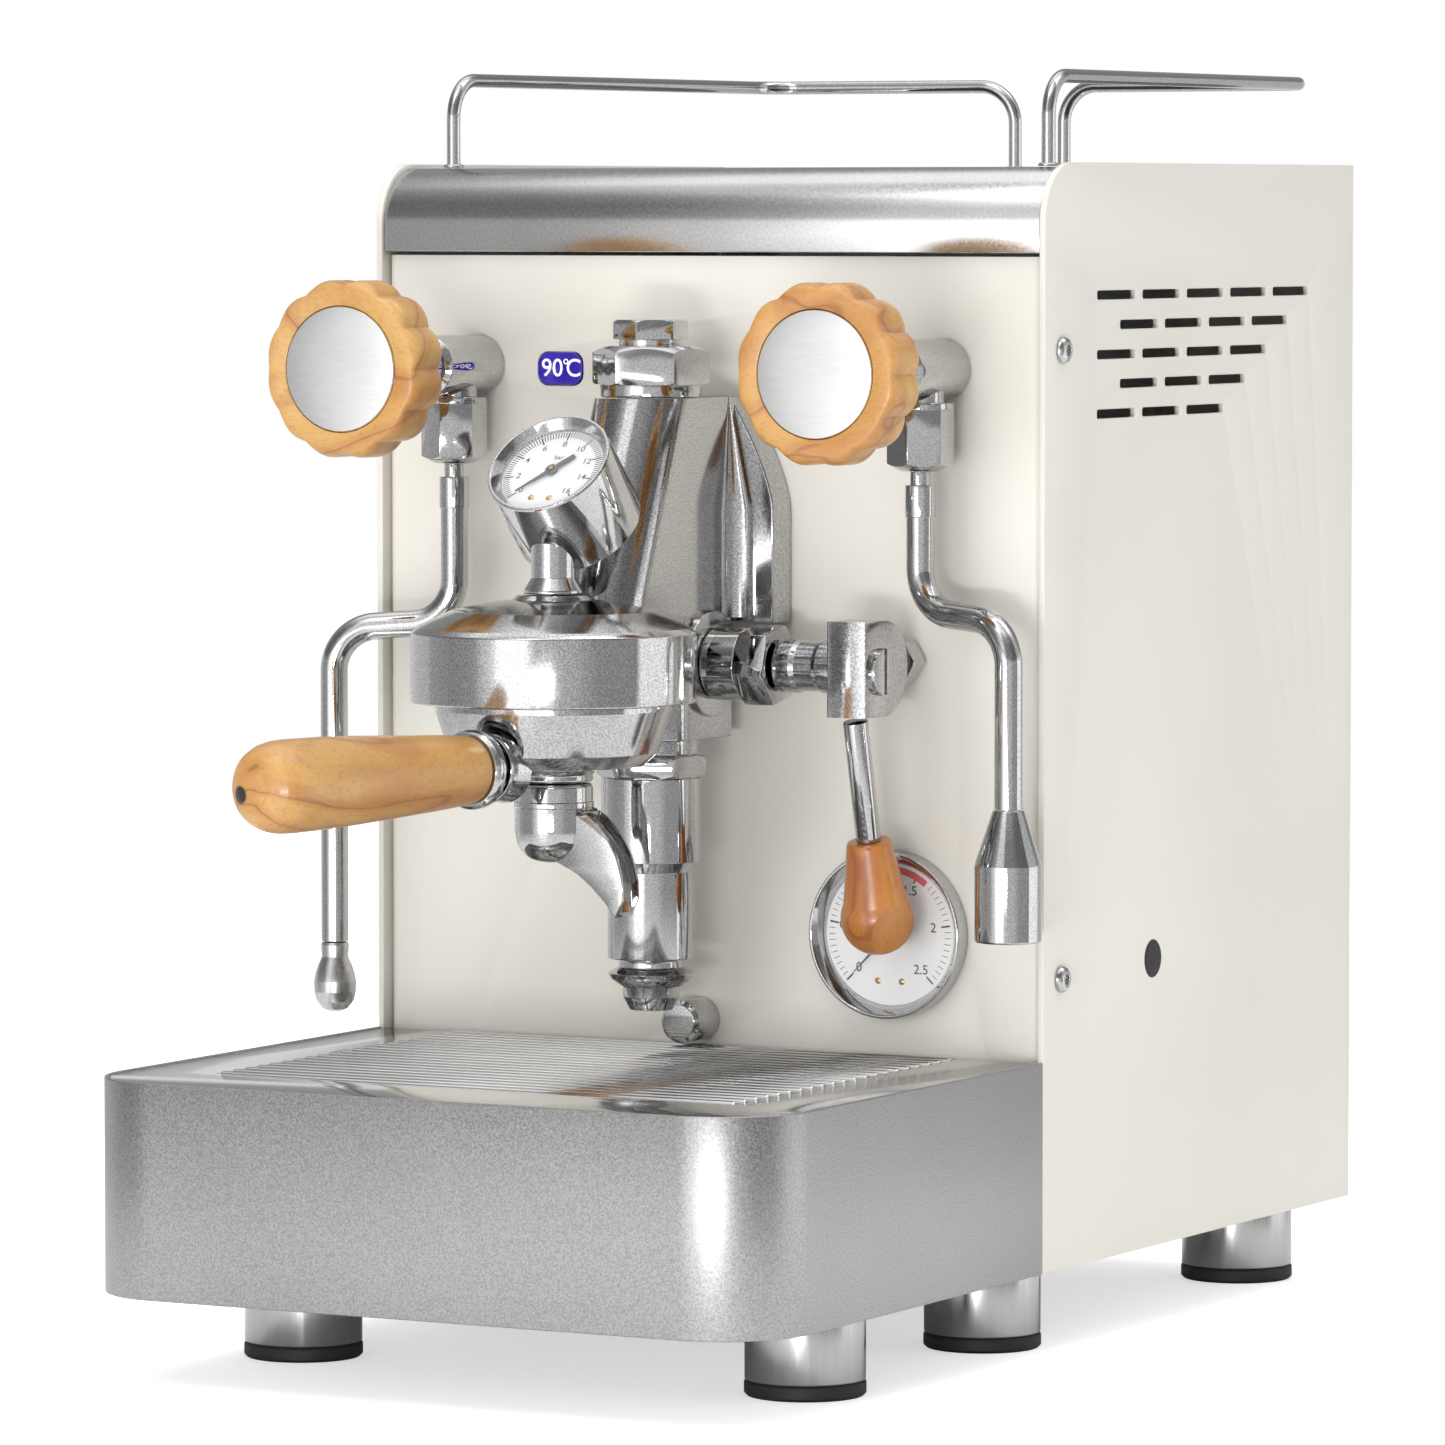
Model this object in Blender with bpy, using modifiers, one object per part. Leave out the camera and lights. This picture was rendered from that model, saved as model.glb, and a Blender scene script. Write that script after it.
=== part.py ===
"""Espresso machine with a lever brew group, two tap-and-wand sets, a drip drawer and a rear water tank.

Metres, +Z up, +X to the right of someone facing the machine, +Y to its back. While the pieces
are made, Y = 0 is the casing's front edge; the last step moves all of them so that the origin
lies under the middle of the whole machine, on the plane that its feet stand on.
"""

import math

import bmesh
import bpy
from mathutils import Matrix, Vector

# Fits
GAP = 0.0003            # between pieces that rest on each other
SLIDE = 0.0008          # between pieces that move past each other
SHEET = 0.0015          # folded steel sheet

# Casing
CASE_WIDTH = 0.2586
CASE_DEPTH = 0.2506
CASE_TOP = 0.4008
COVER_SHEET = 0.0023    # the painted side covers are thicker
COVER_CORNER = 0.0205   # their rounded upper front corner
UNDERSIDE = 0.029       # height of the casing's lower edge
FRONT_SETBACK = 0.003   # front panel behind the side covers' front edges
VISOR_DROP = 0.0303     # height of the visor
TOP_DROP = 0.0015       # top sheets below the side covers' upper edges
REAR_BULGE = 0.0115     # rear panel stands this far behind the side covers

# Drip drawer
TRAY_REACH = 0.1985     # in front of the casing
TRAY_TOP = 0.1003
TRAY_CORNER = 0.031
GRATE_SIDE_MARGIN = 0.0328
GRATE_FRONT_MARGIN = 0.0415
GRATE_BACK = -0.0015
ROD_RADIUS = 0.0015
ROD_PITCH = 0.0077
PAN_FLOOR = 0.040

# Feet, set in from the casing's side, the tray's front edge and the casing's back
FOOT_RADIUS = 0.020
FOOT_SIDE_INSET = 0.0338
FOOT_FRONT_INSET = 0.0923
FOOT_REAR_INSET = 0.0234
FOOT_MIDDLE_Y = 0.0223

# Brew group, on the machine's centre line
FILTER_RADIUS = 0.0393  # outside of the filter holder just below the bell
BELL_Y = -0.1033
BELL_WALL = 0.0079      # around the filter holder
BELL_BOTTOM = 0.223
BELL_SHOULDER = 0.2475
BELL_TOP = 0.256
GASKET_LOW = 0.2380
GASKET_TOP = 0.2460
CHAMBER_Y = -0.037
CHAMBER_TOP = 0.2020
CHAMBER_RADIUS = 0.0170
CHAMBER_CLEARANCE = 0.0152   # of its lower end above the tray
GROUP_HALF_WIDTH = 0.017
GROUP_TOP = 0.3218
GROUP_BOTTOM = 0.2068
NECK_FOOT_Y = -0.069    # where the leaning neck lands on the bell
NECK_HEAD_Y = -0.041
FLANGE_HALF_WIDTH = 0.0326
FLANGE_FRONT = -0.0107
FLANGE_BOTTOM = 0.2457
FLANGE_SHOULDER = 0.284
CAM_Y = -0.028
CAM_Z = 0.2325
CAM_BOSS_RADIUS = 0.018
CAM_BOSS_FACE = 0.0195
GROUP_PIPE_Z = 0.300
GROUP_SPIGOT = 0.008
GLAND_LENGTH = 0.0247
HANDLE_Z = 0.203
HANDLE_ANGLE = math.radians(-7.6)
HANDLE_END = 0.1565     # from the bell's axis

# Brew lever, to the right of the group
LEVER_X = 0.0772
LEVER_THICKNESS = 0.0145
LEVER_HEAD = 0.016      # radius of its rounded back
ROD_LENGTH = 0.0415
ROD_SLOPE = Vector((0, 0.235, -0.972))
LEVER_KNOB_LENGTH = 0.0270

# Taps and wands
TAP_X = 0.090
TAP_DROP = 0.0693       # of the taps' axes below the casing's top
KNOB_FRONT = -0.090
KNOB_RADIUS = 0.0305
KNOB_DEPTH = 0.022
KNOB_LOBES = 12
WAND_Y = -0.014
WAND_RADIUS = 0.0047
WAND_OUT = 0.040
WAND_FORWARD = 0.014
NUT_DROP = 0.0335       # of the wands' upper ends below the taps' axes
STEAM_BEND = 0.0560     # of each wand's bend below its upper end
WATER_BEND = 0.0480
STEAM_TIP_CLEARANCE = 0.0075   # above the tray
STEAM_TIP_LENGTH = 0.0244
NOZZLE_BOTTOM = 0.1430
NOZZLE_LENGTH = 0.0438

# Gauges and display
BOILER_GAUGE_X = 0.0712
BOILER_GAUGE_Z = 0.141
BOILER_GAUGE_RADIUS = 0.0285
PUMP_GAUGE_RADIUS = 0.0215
PUMP_GAUGE_LENGTH = 0.030
PUMP_GAUGE_Z = 0.302
PUMP_GAUGE_BACK = -0.0919              # where the upper edge of its rim stays clear of the neck
PUMP_GAUGE_TILT = math.radians(45.4)   # of its face, back from upright
DISPLAY_X = -0.0576
DISPLAY_DROP = 0.0704
DISPLAY_SIZE = (0.0174, 0.0111)
DRAIN_X = -0.0025
DRAIN_ABOVE_TRAY = 0.0086

# Cup rails, each from the front down its side and across half of the back
RAIL_RADIUS = 0.0024
RAIL_RISE = 0.0292      # of their centre line above the casing
RAIL_FRONT_INSET = 0.0136
RAIL_REAR_INSET = 0.0193
RAIL_START = 0.030
RAIL_OVERHANG = 0.0034  # of the rear corners behind the side covers
RAIL_END_OVERHANG = 0.0074
RAIL_END_X = 0.010

# Water tank
TANK_HALF_WIDTH = 0.062
TANK_DEPTH = 0.078
TANK_BACK_INSET = 0.0106
TANK_WALL = 0.0025
HATCH_MARGIN = 0.006
HATCH_CORNER = 0.004

# Mains inlet with the power rocker above it
INLET_X = 0.070
INLET_Z = 0.070
INLET_SIZE = (0.028, 0.042)

# Side vents: depth below the casing's top, start behind its front edge, slots in the row
VENT_ROWS = ((0.0446, 0.0400, 5), (0.0547, 0.0579, 4), (0.0647, 0.0400, 4),
             (0.0747, 0.0579, 3), (0.0847, 0.0400, 3))
VENT_PITCH = 0.0354
VENT_SIZE = (0.030, 0.0031)
SCREW_Y = 0.0131
SCREW_UPPER_DROP = 0.0627
SCREW_LOWER_Z = 0.1273
SCREW_RADIUS = 0.00465
SCREW_SHANK = 0.0019

# Worked out from the sizes above
COVER_INSIDE = CASE_WIDTH / 2 - COVER_SHEET
INNER_HALF = COVER_INSIDE - GAP
TOP_Z = CASE_TOP - TOP_DROP
VISOR_BOTTOM = CASE_TOP - VISOR_DROP
TAP_Z = CASE_TOP - TAP_DROP
NUT_BOTTOM = TAP_Z - NUT_DROP
DISPLAY_Z = CASE_TOP - DISPLAY_DROP
SCREW_HEIGHTS = {"upper": CASE_TOP - SCREW_UPPER_DROP, "lower": SCREW_LOWER_Z}
FLOOR_Z = UNDERSIDE + 0.003
PANEL_BACK = FRONT_SETBACK + SHEET
REAR_Y = CASE_DEPTH + REAR_BULGE
VISOR_BACK = COVER_CORNER + 0.0022
GRATE_HALF_WIDTH = CASE_WIDTH / 2 - GRATE_SIDE_MARGIN
GRATE_FRONT = -TRAY_REACH + GRATE_FRONT_MARGIN
FOOT_X = CASE_WIDTH / 2 - FOOT_SIDE_INSET
FOOT_ROWS = {"front": -TRAY_REACH + FOOT_FRONT_INSET, "middle": FOOT_MIDDLE_Y,
             "rear": CASE_DEPTH - FOOT_REAR_INSET}
DRAIN_Z = TRAY_TOP + DRAIN_ABOVE_TRAY
STEAM_TIP_TOP = TRAY_TOP + STEAM_TIP_CLEARANCE + STEAM_TIP_LENGTH
NOZZLE_TOP = NOZZLE_BOTTOM + NOZZLE_LENGTH
BELL_RADIUS = FILTER_RADIUS + BELL_WALL
GASKET_RADIUS = FILTER_RADIUS - 0.0028
GASKET_BORE = GASKET_RADIUS - 0.0075
BASKET_RADIUS = FILTER_RADIUS - 0.0093
CHAMBER_BOTTOM = TRAY_TOP + CHAMBER_CLEARANCE
PUMP_GAUGE_FACE = Vector((0, PUMP_GAUGE_BACK - PUMP_GAUGE_RADIUS * math.cos(PUMP_GAUGE_TILT), PUMP_GAUGE_Z))
TANK_BACK = CASE_DEPTH - TANK_BACK_INSET
TANK_FRONT = TANK_BACK - TANK_DEPTH
ROD_WAY = ROD_SLOPE.normalized()
ROD_TOP = Vector((LEVER_X, CAM_Y - 0.0082, CAM_Z - LEVER_HEAD - GAP - 0.0011))
LEVER_BALL = ROD_TOP + ROD_WAY * (ROD_LENGTH + GAP + LEVER_KNOB_LENGTH)
HANDLE_WAY = Vector((math.sin(HANDLE_ANGLE), -math.cos(HANDLE_ANGLE), 0))

TURNS = {
    "Z": Matrix.Identity(4),
    "X": Matrix.Rotation(math.pi / 2, 4, "Y"),
    "Y": Matrix.Rotation(-math.pi / 2, 4, "X"),
    "-Y": Matrix.Rotation(math.pi / 2, 4, "X"),
}
# Joined round shapes start a few degrees apart, so that no two of their edges meet in one line
OFFSET_TURN = math.radians(3)
# A drawing plane's own x, y and thickness directions
PLANES = {
    "XY": Matrix.Identity(4),
    "XZ": Matrix.Rotation(math.pi / 2, 4, "X"),
    "YZ": Matrix(((0, 0, 1, 0), (1, 0, 0, 0), (0, 1, 0, 0), (0, 0, 0, 1))),
}


# ---------------------------------------------------------------- making shapes

def clear_scene():
    for obj in list(bpy.data.objects):
        bpy.data.objects.remove(obj, do_unlink=True)


def new_collection(name):
    made = bpy.data.collections.new(name)
    bpy.context.scene.collection.children.link(made)
    return made


def finish(name, colour, roughness, metallic=0.0):
    made = bpy.data.materials.new(name)
    made.use_nodes = True
    shader = made.node_tree.nodes["Principled BSDF"]
    shader.inputs["Base Color"].default_value = (*colour, 1)
    shader.inputs["Roughness"].default_value = roughness
    shader.inputs["Metallic"].default_value = metallic
    return made


def add(name, mesh, material=None, at=(0, 0, 0), turn=None):
    """An object in the machine's collection, or a helper in the cutters' when it has no material."""
    obj = bpy.data.objects.new(name, mesh)
    obj.matrix_world = Matrix.Translation(at) @ (turn or Matrix.Identity(4))
    if material:
        mesh.materials.append(material)
        PARTS.objects.link(obj)
    else:
        obj.hide_render = True
        obj.display_type = "WIRE"
        CUTTERS.objects.link(obj)
    return obj


def mesh_of(build, name):
    shape = bmesh.new()
    build(shape)
    bmesh.ops.recalc_face_normals(shape, faces=shape.faces)
    mesh = bpy.data.meshes.new(name)
    shape.to_mesh(mesh)
    shape.free()
    return mesh


def box(name, low, high, material=None):
    low, high = Vector(low), Vector(high)
    mesh = mesh_of(lambda shape: bmesh.ops.create_cube(
        shape, size=1, matrix=Matrix.Diagonal((*(high - low), 1))), name)
    return add(name, mesh, material, (low + high) / 2)


def prism(name, radius, start, end, at, axis="Z", sides=32, spin=0.0, material=None, end_radius=None):
    """A cylinder, cone or, with 6 sides, hexagon from start to end along its axis through at."""
    last = radius if end_radius is None else end_radius
    lift = Matrix.Translation((0, 0, (start + end) / 2)) @ Matrix.Rotation(spin, 4, "Z")
    mesh = mesh_of(lambda shape: bmesh.ops.create_cone(
        shape, cap_ends=True, segments=sides, radius1=radius, radius2=last,
        depth=end - start, matrix=lift), name)
    smooth(mesh)
    return add(name, mesh, material, at, TURNS[axis])


def smooth(mesh, angle=math.radians(32)):
    mesh.shade_smooth()
    mesh.set_sharp_from_angle(angle=angle)


def turned(name, profile, at, axis="Z", steps=32, material=None, turn=None):
    """A profile of (radius, height) points, listed from its top down its outer side."""
    mesh = bpy.data.meshes.new(name)
    mesh.from_pydata([(radius, 0, height) for radius, height in profile],
                     [(i, i + 1) for i in range(len(profile) - 1)], [])
    obj = add(name, mesh, material, at, turn or TURNS[axis])
    screw = obj.modifiers.new("turn", "SCREW")
    screw.axis = "Z"
    screw.steps = screw.render_steps = steps
    screw.use_merge_vertices = True
    screw.merge_threshold = 0.00005
    screw.use_smooth_shade = True
    return obj


def meshed(name, curve, material, turn):
    """The closed mesh of a curve, in the curve's place."""
    guide = bpy.data.objects.new(name, curve)
    guide.matrix_world = turn
    CUTTERS.objects.link(guide)
    bpy.context.view_layer.update()
    graph = bpy.context.evaluated_depsgraph_get()
    mesh = bpy.data.meshes.new_from_object(guide.evaluated_get(graph))
    shape = bmesh.new()
    shape.from_mesh(mesh)
    bmesh.ops.remove_doubles(shape, verts=shape.verts, dist=0.00001)
    bmesh.ops.recalc_face_normals(shape, faces=shape.faces)
    shape.to_mesh(mesh)
    shape.free()
    bpy.data.objects.remove(guide)
    mesh.materials.clear()
    smooth(mesh)
    return add(name, mesh, material, turn=turn)


def plate(name, outlines, plane, start, end, material=None):
    """A flat outline, with any holes, from start to end along its plane's thickness direction."""
    curve = bpy.data.curves.new(name, "CURVE")
    curve.dimensions = "2D"
    curve.fill_mode = "BOTH"
    curve.extrude = (end - start) / 2
    for outline in outlines:
        spline = curve.splines.new("POLY")
        spline.points.add(len(outline) - 1)
        for point, (x, y) in zip(spline.points, outline):
            point.co = (x, y, 0, 1)
        spline.use_cyclic_u = True
    middle = Matrix.Translation((0, 0, (start + end) / 2))
    return meshed(name, curve, material, PLANES[plane] @ middle)


def tube(name, points, radius, material=None, resolution=4, radii=None):
    curve = bpy.data.curves.new(name, "CURVE")
    curve.dimensions = "3D"
    curve.bevel_depth = radius
    curve.bevel_resolution = resolution
    curve.use_fill_caps = True
    spline = curve.splines.new("POLY")
    spline.points.add(len(points) - 1)
    for i, (point, place) in enumerate(zip(spline.points, points)):
        point.co = (*place, 1)
        point.radius = radii[i] / radius if radii else 1
    return meshed(name, curve, material, Matrix.Identity(4))


def folded(name, path, plane, start, end, thickness, side, material):
    """A sheet along an open path, from start to end across it; side is +1 or -1 for its thickness."""
    def build(shape):
        rows = [[shape.verts.new((x, y, across)) for x, y in path] for across in (start, end)]
        for i in range(len(path) - 1):
            shape.faces.new((rows[0][i], rows[0][i + 1], rows[1][i + 1], rows[1][i]))
    shape = bmesh.new()
    build(shape)
    mesh = bpy.data.meshes.new(name)
    shape.to_mesh(mesh)
    shape.free()
    smooth(mesh)
    obj = add(name, mesh, material, turn=PLANES[plane])
    shell = obj.modifiers.new("thickness", "SOLIDIFY")
    shell.thickness = thickness
    shell.offset = side
    shell.use_even_offset = True
    return obj


def boolean(target, operation, tools):
    for tool in tools:
        step = target.modifiers.new(f"{operation.lower()} {tool.name}", "BOOLEAN")
        step.operation = operation
        step.object = tool
        step.solver = "EXACT"
    return target


def join(target, *tools):
    return boolean(target, "UNION", tools)


def cut(target, *tools):
    return boolean(target, "DIFFERENCE", tools)


def arc(centre, radius, first, last, steps):
    """Points on a circle from angle first to last, in degrees."""
    turns = (math.radians(first + (last - first) * i / steps) for i in range(steps + 1))
    return [(centre[0] + radius * math.cos(t), centre[1] + radius * math.sin(t)) for t in turns]


def rounded(centre, size, radius, steps=4):
    """The outline of a rectangle with rounded corners."""
    half_x, half_y = size[0] / 2 - radius, size[1] / 2 - radius
    points = []
    for i, (sx, sy) in enumerate(((1, 1), (-1, 1), (-1, -1), (1, -1))):
        corner = (centre[0] + sx * half_x, centre[1] + sy * half_y)
        points += arc(corner, radius, 90 * i, 90 * i + 90, steps)
    return points


def bent(points, radius, steps=6):
    """A route through points whose inner corners are rounded to radius."""
    points = [Vector(p) for p in points]
    route = [points[0]]
    for before, corner, after in zip(points, points[1:], points[2:]):
        back, on = (before - corner).normalized(), (after - corner).normalized()
        angle = back.angle(on)
        reach = radius / math.tan(angle / 2)
        centre = corner + (back + on).normalized() * (radius / math.sin(angle / 2))
        first = corner + back * reach - centre
        sweep = first.rotation_difference(corner + on * reach - centre)
        for i in range(steps + 1):
            route.append(centre + Matrix.Rotation(sweep.angle * i / steps, 3, sweep.axis) @ first)
    return route + [points[-1]]


def pivot(name, at, pieces):
    """An empty on a joint's axis that carries the pieces of one moving body."""
    empty = bpy.data.objects.new(name, None)
    empty.location = at
    empty.empty_display_size = 0.02
    PARTS.objects.link(empty)
    for piece in pieces:
        piece.parent = empty
        piece.matrix_parent_inverse = Matrix.Translation(at).inverted()
    return empty


# ---------------------------------------------------------------- casing

def make_base_frame():
    tongue, front, inner = COVER_INSIDE - 0.0095, -TRAY_REACH + 0.0135, INNER_HALF
    back = CASE_DEPTH - 0.004
    half = arc((tongue - 0.015, front + 0.015), 0.015, -90, 0, 4)
    half += [(tongue, GAP), (inner, GAP), (inner, back)]
    outline = half + [(-x, y) for x, y in reversed(half)]
    return plate("base_frame", [outline], "XY", UNDERSIDE, FLOOR_Z, STEEL)


def cover_outline():
    corner = (COVER_CORNER, CASE_TOP - COVER_CORNER)
    outline = [(0, UNDERSIDE), (CASE_DEPTH, UNDERSIDE), (CASE_DEPTH, CASE_TOP)]
    return outline + arc(corner, COVER_CORNER, 90, 180, 7)


def make_side_cover(side, name):
    slots = []
    for drop, start, count in VENT_ROWS:
        for i in range(count):
            centre = (start + VENT_SIZE[0] / 2 + VENT_PITCH * i, CASE_TOP - drop)
            slots.append(rounded(centre, VENT_SIZE, VENT_SIZE[1] / 2 - 0.0001, 1))
    holes = [arc((SCREW_Y, z), SCREW_SHANK + GAP, 0, 337.5, 15) for z in SCREW_HEIGHTS.values()]
    edges = sorted((side * COVER_INSIDE, side * CASE_WIDTH / 2))
    return plate(name, [cover_outline()] + slots + holes, "YZ", *edges, CREAM)


def make_front_panel():
    bend, depth = 0.004, 0.018
    side = INNER_HALF
    right = arc((side - bend, FRONT_SETBACK + bend), bend, -90, 0, 4) + [(side, depth)]
    path = [(-x, y) for x, y in reversed(right)] + right
    panel = folded("front_panel", path, "XY", FLOOR_Z + GAP, VISOR_BOTTOM - 0.0012, SHEET, -1, CREAM)
    holes = [prism(f"tap_hole_{i}", 0.0075, 0, 0.02, (x, -0.005, TAP_Z), "Y", 20)
             for i, x in enumerate((-TAP_X, TAP_X))]
    holes.append(prism("gauge_hole", BOILER_GAUGE_RADIUS - 0.0025 + GAP, 0, 0.02,
                       (BOILER_GAUGE_X, -0.005, BOILER_GAUGE_Z), "Y", 32))
    holes.append(prism("drain_hole", 0.0065, 0, 0.02, (DRAIN_X, -0.005, DRAIN_Z), "Y", 20))
    holes.append(prism("group_hole", 0.0085, 0, 0.02, (0, -0.005, GROUP_PIPE_Z), "Y", 20))
    for i, height in enumerate(SCREW_HEIGHTS.values()):
        holes.append(prism(f"return_holes_{i}", SCREW_SHANK + GAP, -CASE_WIDTH, CASE_WIDTH,
                           (0, SCREW_Y, height), "X", 12))
    window = rounded((DISPLAY_X, DISPLAY_Z), [s + 2 * GAP for s in DISPLAY_SIZE], 0.004)
    holes.append(plate("display_hole", [window], "XZ", -0.012, 0.005))
    return cut(panel, *holes)


def make_rear_panel():
    inner, step, back = INNER_HALF, INNER_HALF - 0.008, REAR_Y
    right = [(step, back), (step, CASE_DEPTH - 0.003), (inner, CASE_DEPTH - 0.003)]
    path = [(-x, y) for x, y in reversed(right)] + right
    panel = folded("rear_panel", path, "XY", FLOOR_Z + GAP, TOP_Z - SHEET - GAP, SHEET, 1, CREAM)
    half_x, half_z = INLET_SIZE[0] / 2 + GAP, INLET_SIZE[1] / 2 + GAP
    hole = box("inlet_hole", (INLET_X - half_x, back - 0.01, INLET_Z - half_z),
               (INLET_X + half_x, back + 0.01, INLET_Z + half_z))
    return cut(panel, hole)


def make_visor():
    radius = COVER_CORNER - 0.001
    centre = (COVER_CORNER, TOP_Z - radius)
    path = [(COVER_CORNER - radius, VISOR_BOTTOM)]
    path += list(reversed(arc(centre, radius, 90, 180, 9)))
    path.append((VISOR_BACK, TOP_Z))
    return folded("visor", path, "YZ", -INNER_HALF, INNER_HALF, SHEET, 1, BRUSHED)


def make_cup_tray():
    inner, step = INNER_HALF, INNER_HALF - 0.008
    back = CASE_DEPTH - 0.001
    half = [(inner, VISOR_BACK + GAP), (inner, back), (step, back), (step, REAR_Y)]
    outline = half + [(-x, y) for x, y in reversed(half)]
    hatch_size = (2 * (TANK_HALF_WIDTH + HATCH_MARGIN), TANK_DEPTH + 1.5 * HATCH_MARGIN)
    holes = [rounded((0, TANK_BACK - TANK_DEPTH / 2), hatch_size, HATCH_CORNER)]
    for i in range(8):
        holes.append(rounded(((i - 3.5) * 0.024, 0.085), (0.006, 0.070), 0.0029, 1))
    return plate("cup_tray", [outline] + holes, "XY", TOP_Z - SHEET, TOP_Z, STEEL)


def make_rail(side, name):
    bottom, top = TOP_Z + GAP, CASE_TOP + RAIL_RISE
    front_x, rear_x = side * (CASE_WIDTH / 2 - RAIL_FRONT_INSET), side * (CASE_WIDTH / 2 - RAIL_REAR_INSET)
    end_x, end_y = side * RAIL_END_X, CASE_DEPTH + RAIL_END_OVERHANG
    route = bent([(front_x, RAIL_START, bottom), (front_x, RAIL_START, top),
                  (rear_x, CASE_DEPTH + RAIL_OVERHANG, top), (end_x, end_y, top),
                  (end_x, end_y, bottom)], 0.0135, 5)
    return tube(name, route, RAIL_RADIUS, CHROME, 2)


def make_foot(name, x, y):
    profile = [(0, UNDERSIDE - GAP), (FOOT_RADIUS, UNDERSIDE - GAP), (FOOT_RADIUS, 0.0008),
               (FOOT_RADIUS - 0.001, 0), (0, 0)]
    return turned(name, profile, (x, y, 0), steps=24, material=STEEL)


def make_screw(name, side, height):
    profile = [(0, 0.0026), (0.0028, 0.0026), (SCREW_RADIUS, 0.0008), (SCREW_RADIUS, GAP),
               (SCREW_SHANK, GAP), (SCREW_SHANK, -0.005), (0, -0.005)]
    turn = Matrix.Rotation(side * math.pi / 2, 4, "Y")
    return turned(name, profile, (side * CASE_WIDTH / 2, SCREW_Y, height), steps=12,
                  material=CHROME, turn=turn)


def make_display():
    outline = rounded((DISPLAY_X, DISPLAY_Z), DISPLAY_SIZE, 0.004)
    return plate("display", [outline], "XZ", -0.012, -FRONT_SETBACK + 0.0004, BLUE)


# ---------------------------------------------------------------- drip drawer

def make_tray_housing():
    side, front, radius = CASE_WIDTH / 2, -TRAY_REACH, TRAY_CORNER
    right = arc((side - radius, front + radius), radius, -90, 0, 8) + [(side, -GAP)]
    path = [(-x, y) for x, y in reversed(right)] + right
    return folded("tray_housing", path, "XY", UNDERSIDE, TRAY_TOP, SHEET, -1, BRUSHED)


def make_drip_tray():
    side, front = CASE_WIDTH / 2 - SHEET - GAP, -TRAY_REACH + SHEET + GAP
    radius = TRAY_CORNER - SHEET - GAP
    half = arc((side - radius, front + radius), radius, -90, 0, 8) + [(side, -GAP)]
    outline = half + [(-x, y) for x, y in reversed(half)]
    top = TRAY_TOP - GAP
    opening, front_edge, back_edge = GRATE_HALF_WIDTH + SLIDE, GRATE_FRONT - SLIDE, GRATE_BACK + 0.0004
    size = (2 * opening, back_edge - front_edge)
    window = rounded((0, (front_edge + back_edge) / 2), size, 0.004)
    rim = plate("drip_tray", [outline, window], "XY", top - SHEET, top, POLISHED)
    wall, ledge = SHEET, 0.004
    low, seat = PAN_FLOOR - wall, top - 2 * ROD_RADIUS - 0.0035
    outer = (opening + wall, front_edge - wall, back_edge + 0.0005)
    pan = box("pan_outside", (-outer[0], outer[1], low), (outer[0], outer[2], top - SHEET / 2))
    upper = box("pan_upper", (-opening, front_edge, seat), (opening, back_edge, top + 0.01))
    lower = box("pan_inside", (-opening + ledge, front_edge + ledge, PAN_FLOOR),
                (opening - ledge, back_edge - ledge, top + 0.01))
    return cut(join(rim, pan), upper, lower)


def make_grate():
    height = TRAY_TOP - ROD_RADIUS + 0.0004
    half = GRATE_HALF_WIDTH
    first, last = GRATE_FRONT + ROD_RADIUS, GRATE_BACK - ROD_RADIUS
    bars = []
    for i, x in enumerate((-half * 0.6, half * 0.6)):
        bars.append(box(f"grate_bar_{i}", (x - 0.002, first - 0.001, height - 2 * ROD_RADIUS - 0.002),
                        (x + 0.002, last + 0.001, height - 0.0006)))
    rods, spaces = [], round((last - first) / ROD_PITCH)
    for i in range(1, spaces + 1):
        y = first + (last - first) * i / spaces
        rods.append(prism(f"grate_rod_{i}", ROD_RADIUS, -half, half, (0, y, height), "X", 6))
    grate = prism("drip_grate", ROD_RADIUS, -half, half, (0, first, height), "X", 6, 0.0, STEEL)
    return join(grate, *bars, *rods)


# ---------------------------------------------------------------- brew group

def neck_section(centre_y, back_y, flare, steps=6):
    """Half of the casting's outline at one height, from its rounded nose to its flared back."""
    width = GROUP_HALF_WIDTH
    nose = arc((0, centre_y), width, -90, 0, steps)
    start = back_y - flare
    fillet = arc((width + flare, start - 0.004), flare, 180, 90, 3)
    return nose + [(x, min(y, back_y)) for x, y in fillet] + [(width + flare, back_y)]


def make_neck():
    """The leaning neck, its web and the valve body below them, as a loft up through Z."""
    back, pipe_back = FLANGE_FRONT + 0.002, FLANGE_FRONT - 0.0006
    levels = ((GROUP_BOTTOM, CHAMBER_Y, 0.0004), (GASKET_TOP + 0.0006, CHAMBER_Y, 0.0004),
              (BELL_SHOULDER + 0.0005, NECK_FOOT_Y - 0.003, 0.008), (BELL_TOP + 0.002, NECK_FOOT_Y, 0.008),
              (FLANGE_SHOULDER, NECK_FOOT_Y * 0.6 + NECK_HEAD_Y * 0.4, 0.008),
              (GROUP_TOP, NECK_HEAD_Y, 0.0004))

    def build(shape):
        rings = []
        for height, centre, flare in levels:
            half = neck_section(centre, back if height > GASKET_TOP + 0.001 else pipe_back, flare)
            outline = half + [(-x, y) for x, y in reversed(half[1:])]
            rings.append([shape.verts.new((x, y, height)) for x, y in outline])
        count = len(rings[0])
        for lower, upper in zip(rings, rings[1:]):
            for i in range(count):
                j = (i + 1) % count
                shape.faces.new((lower[i], lower[j], upper[j], upper[i]))
        shape.faces.new(rings[0])
        shape.faces.new(rings[-1])
        bmesh.ops.triangulate(shape, faces=shape.faces)
    mesh = mesh_of(build, "group_neck")
    smooth(mesh)
    return add("group_neck", mesh)


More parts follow.
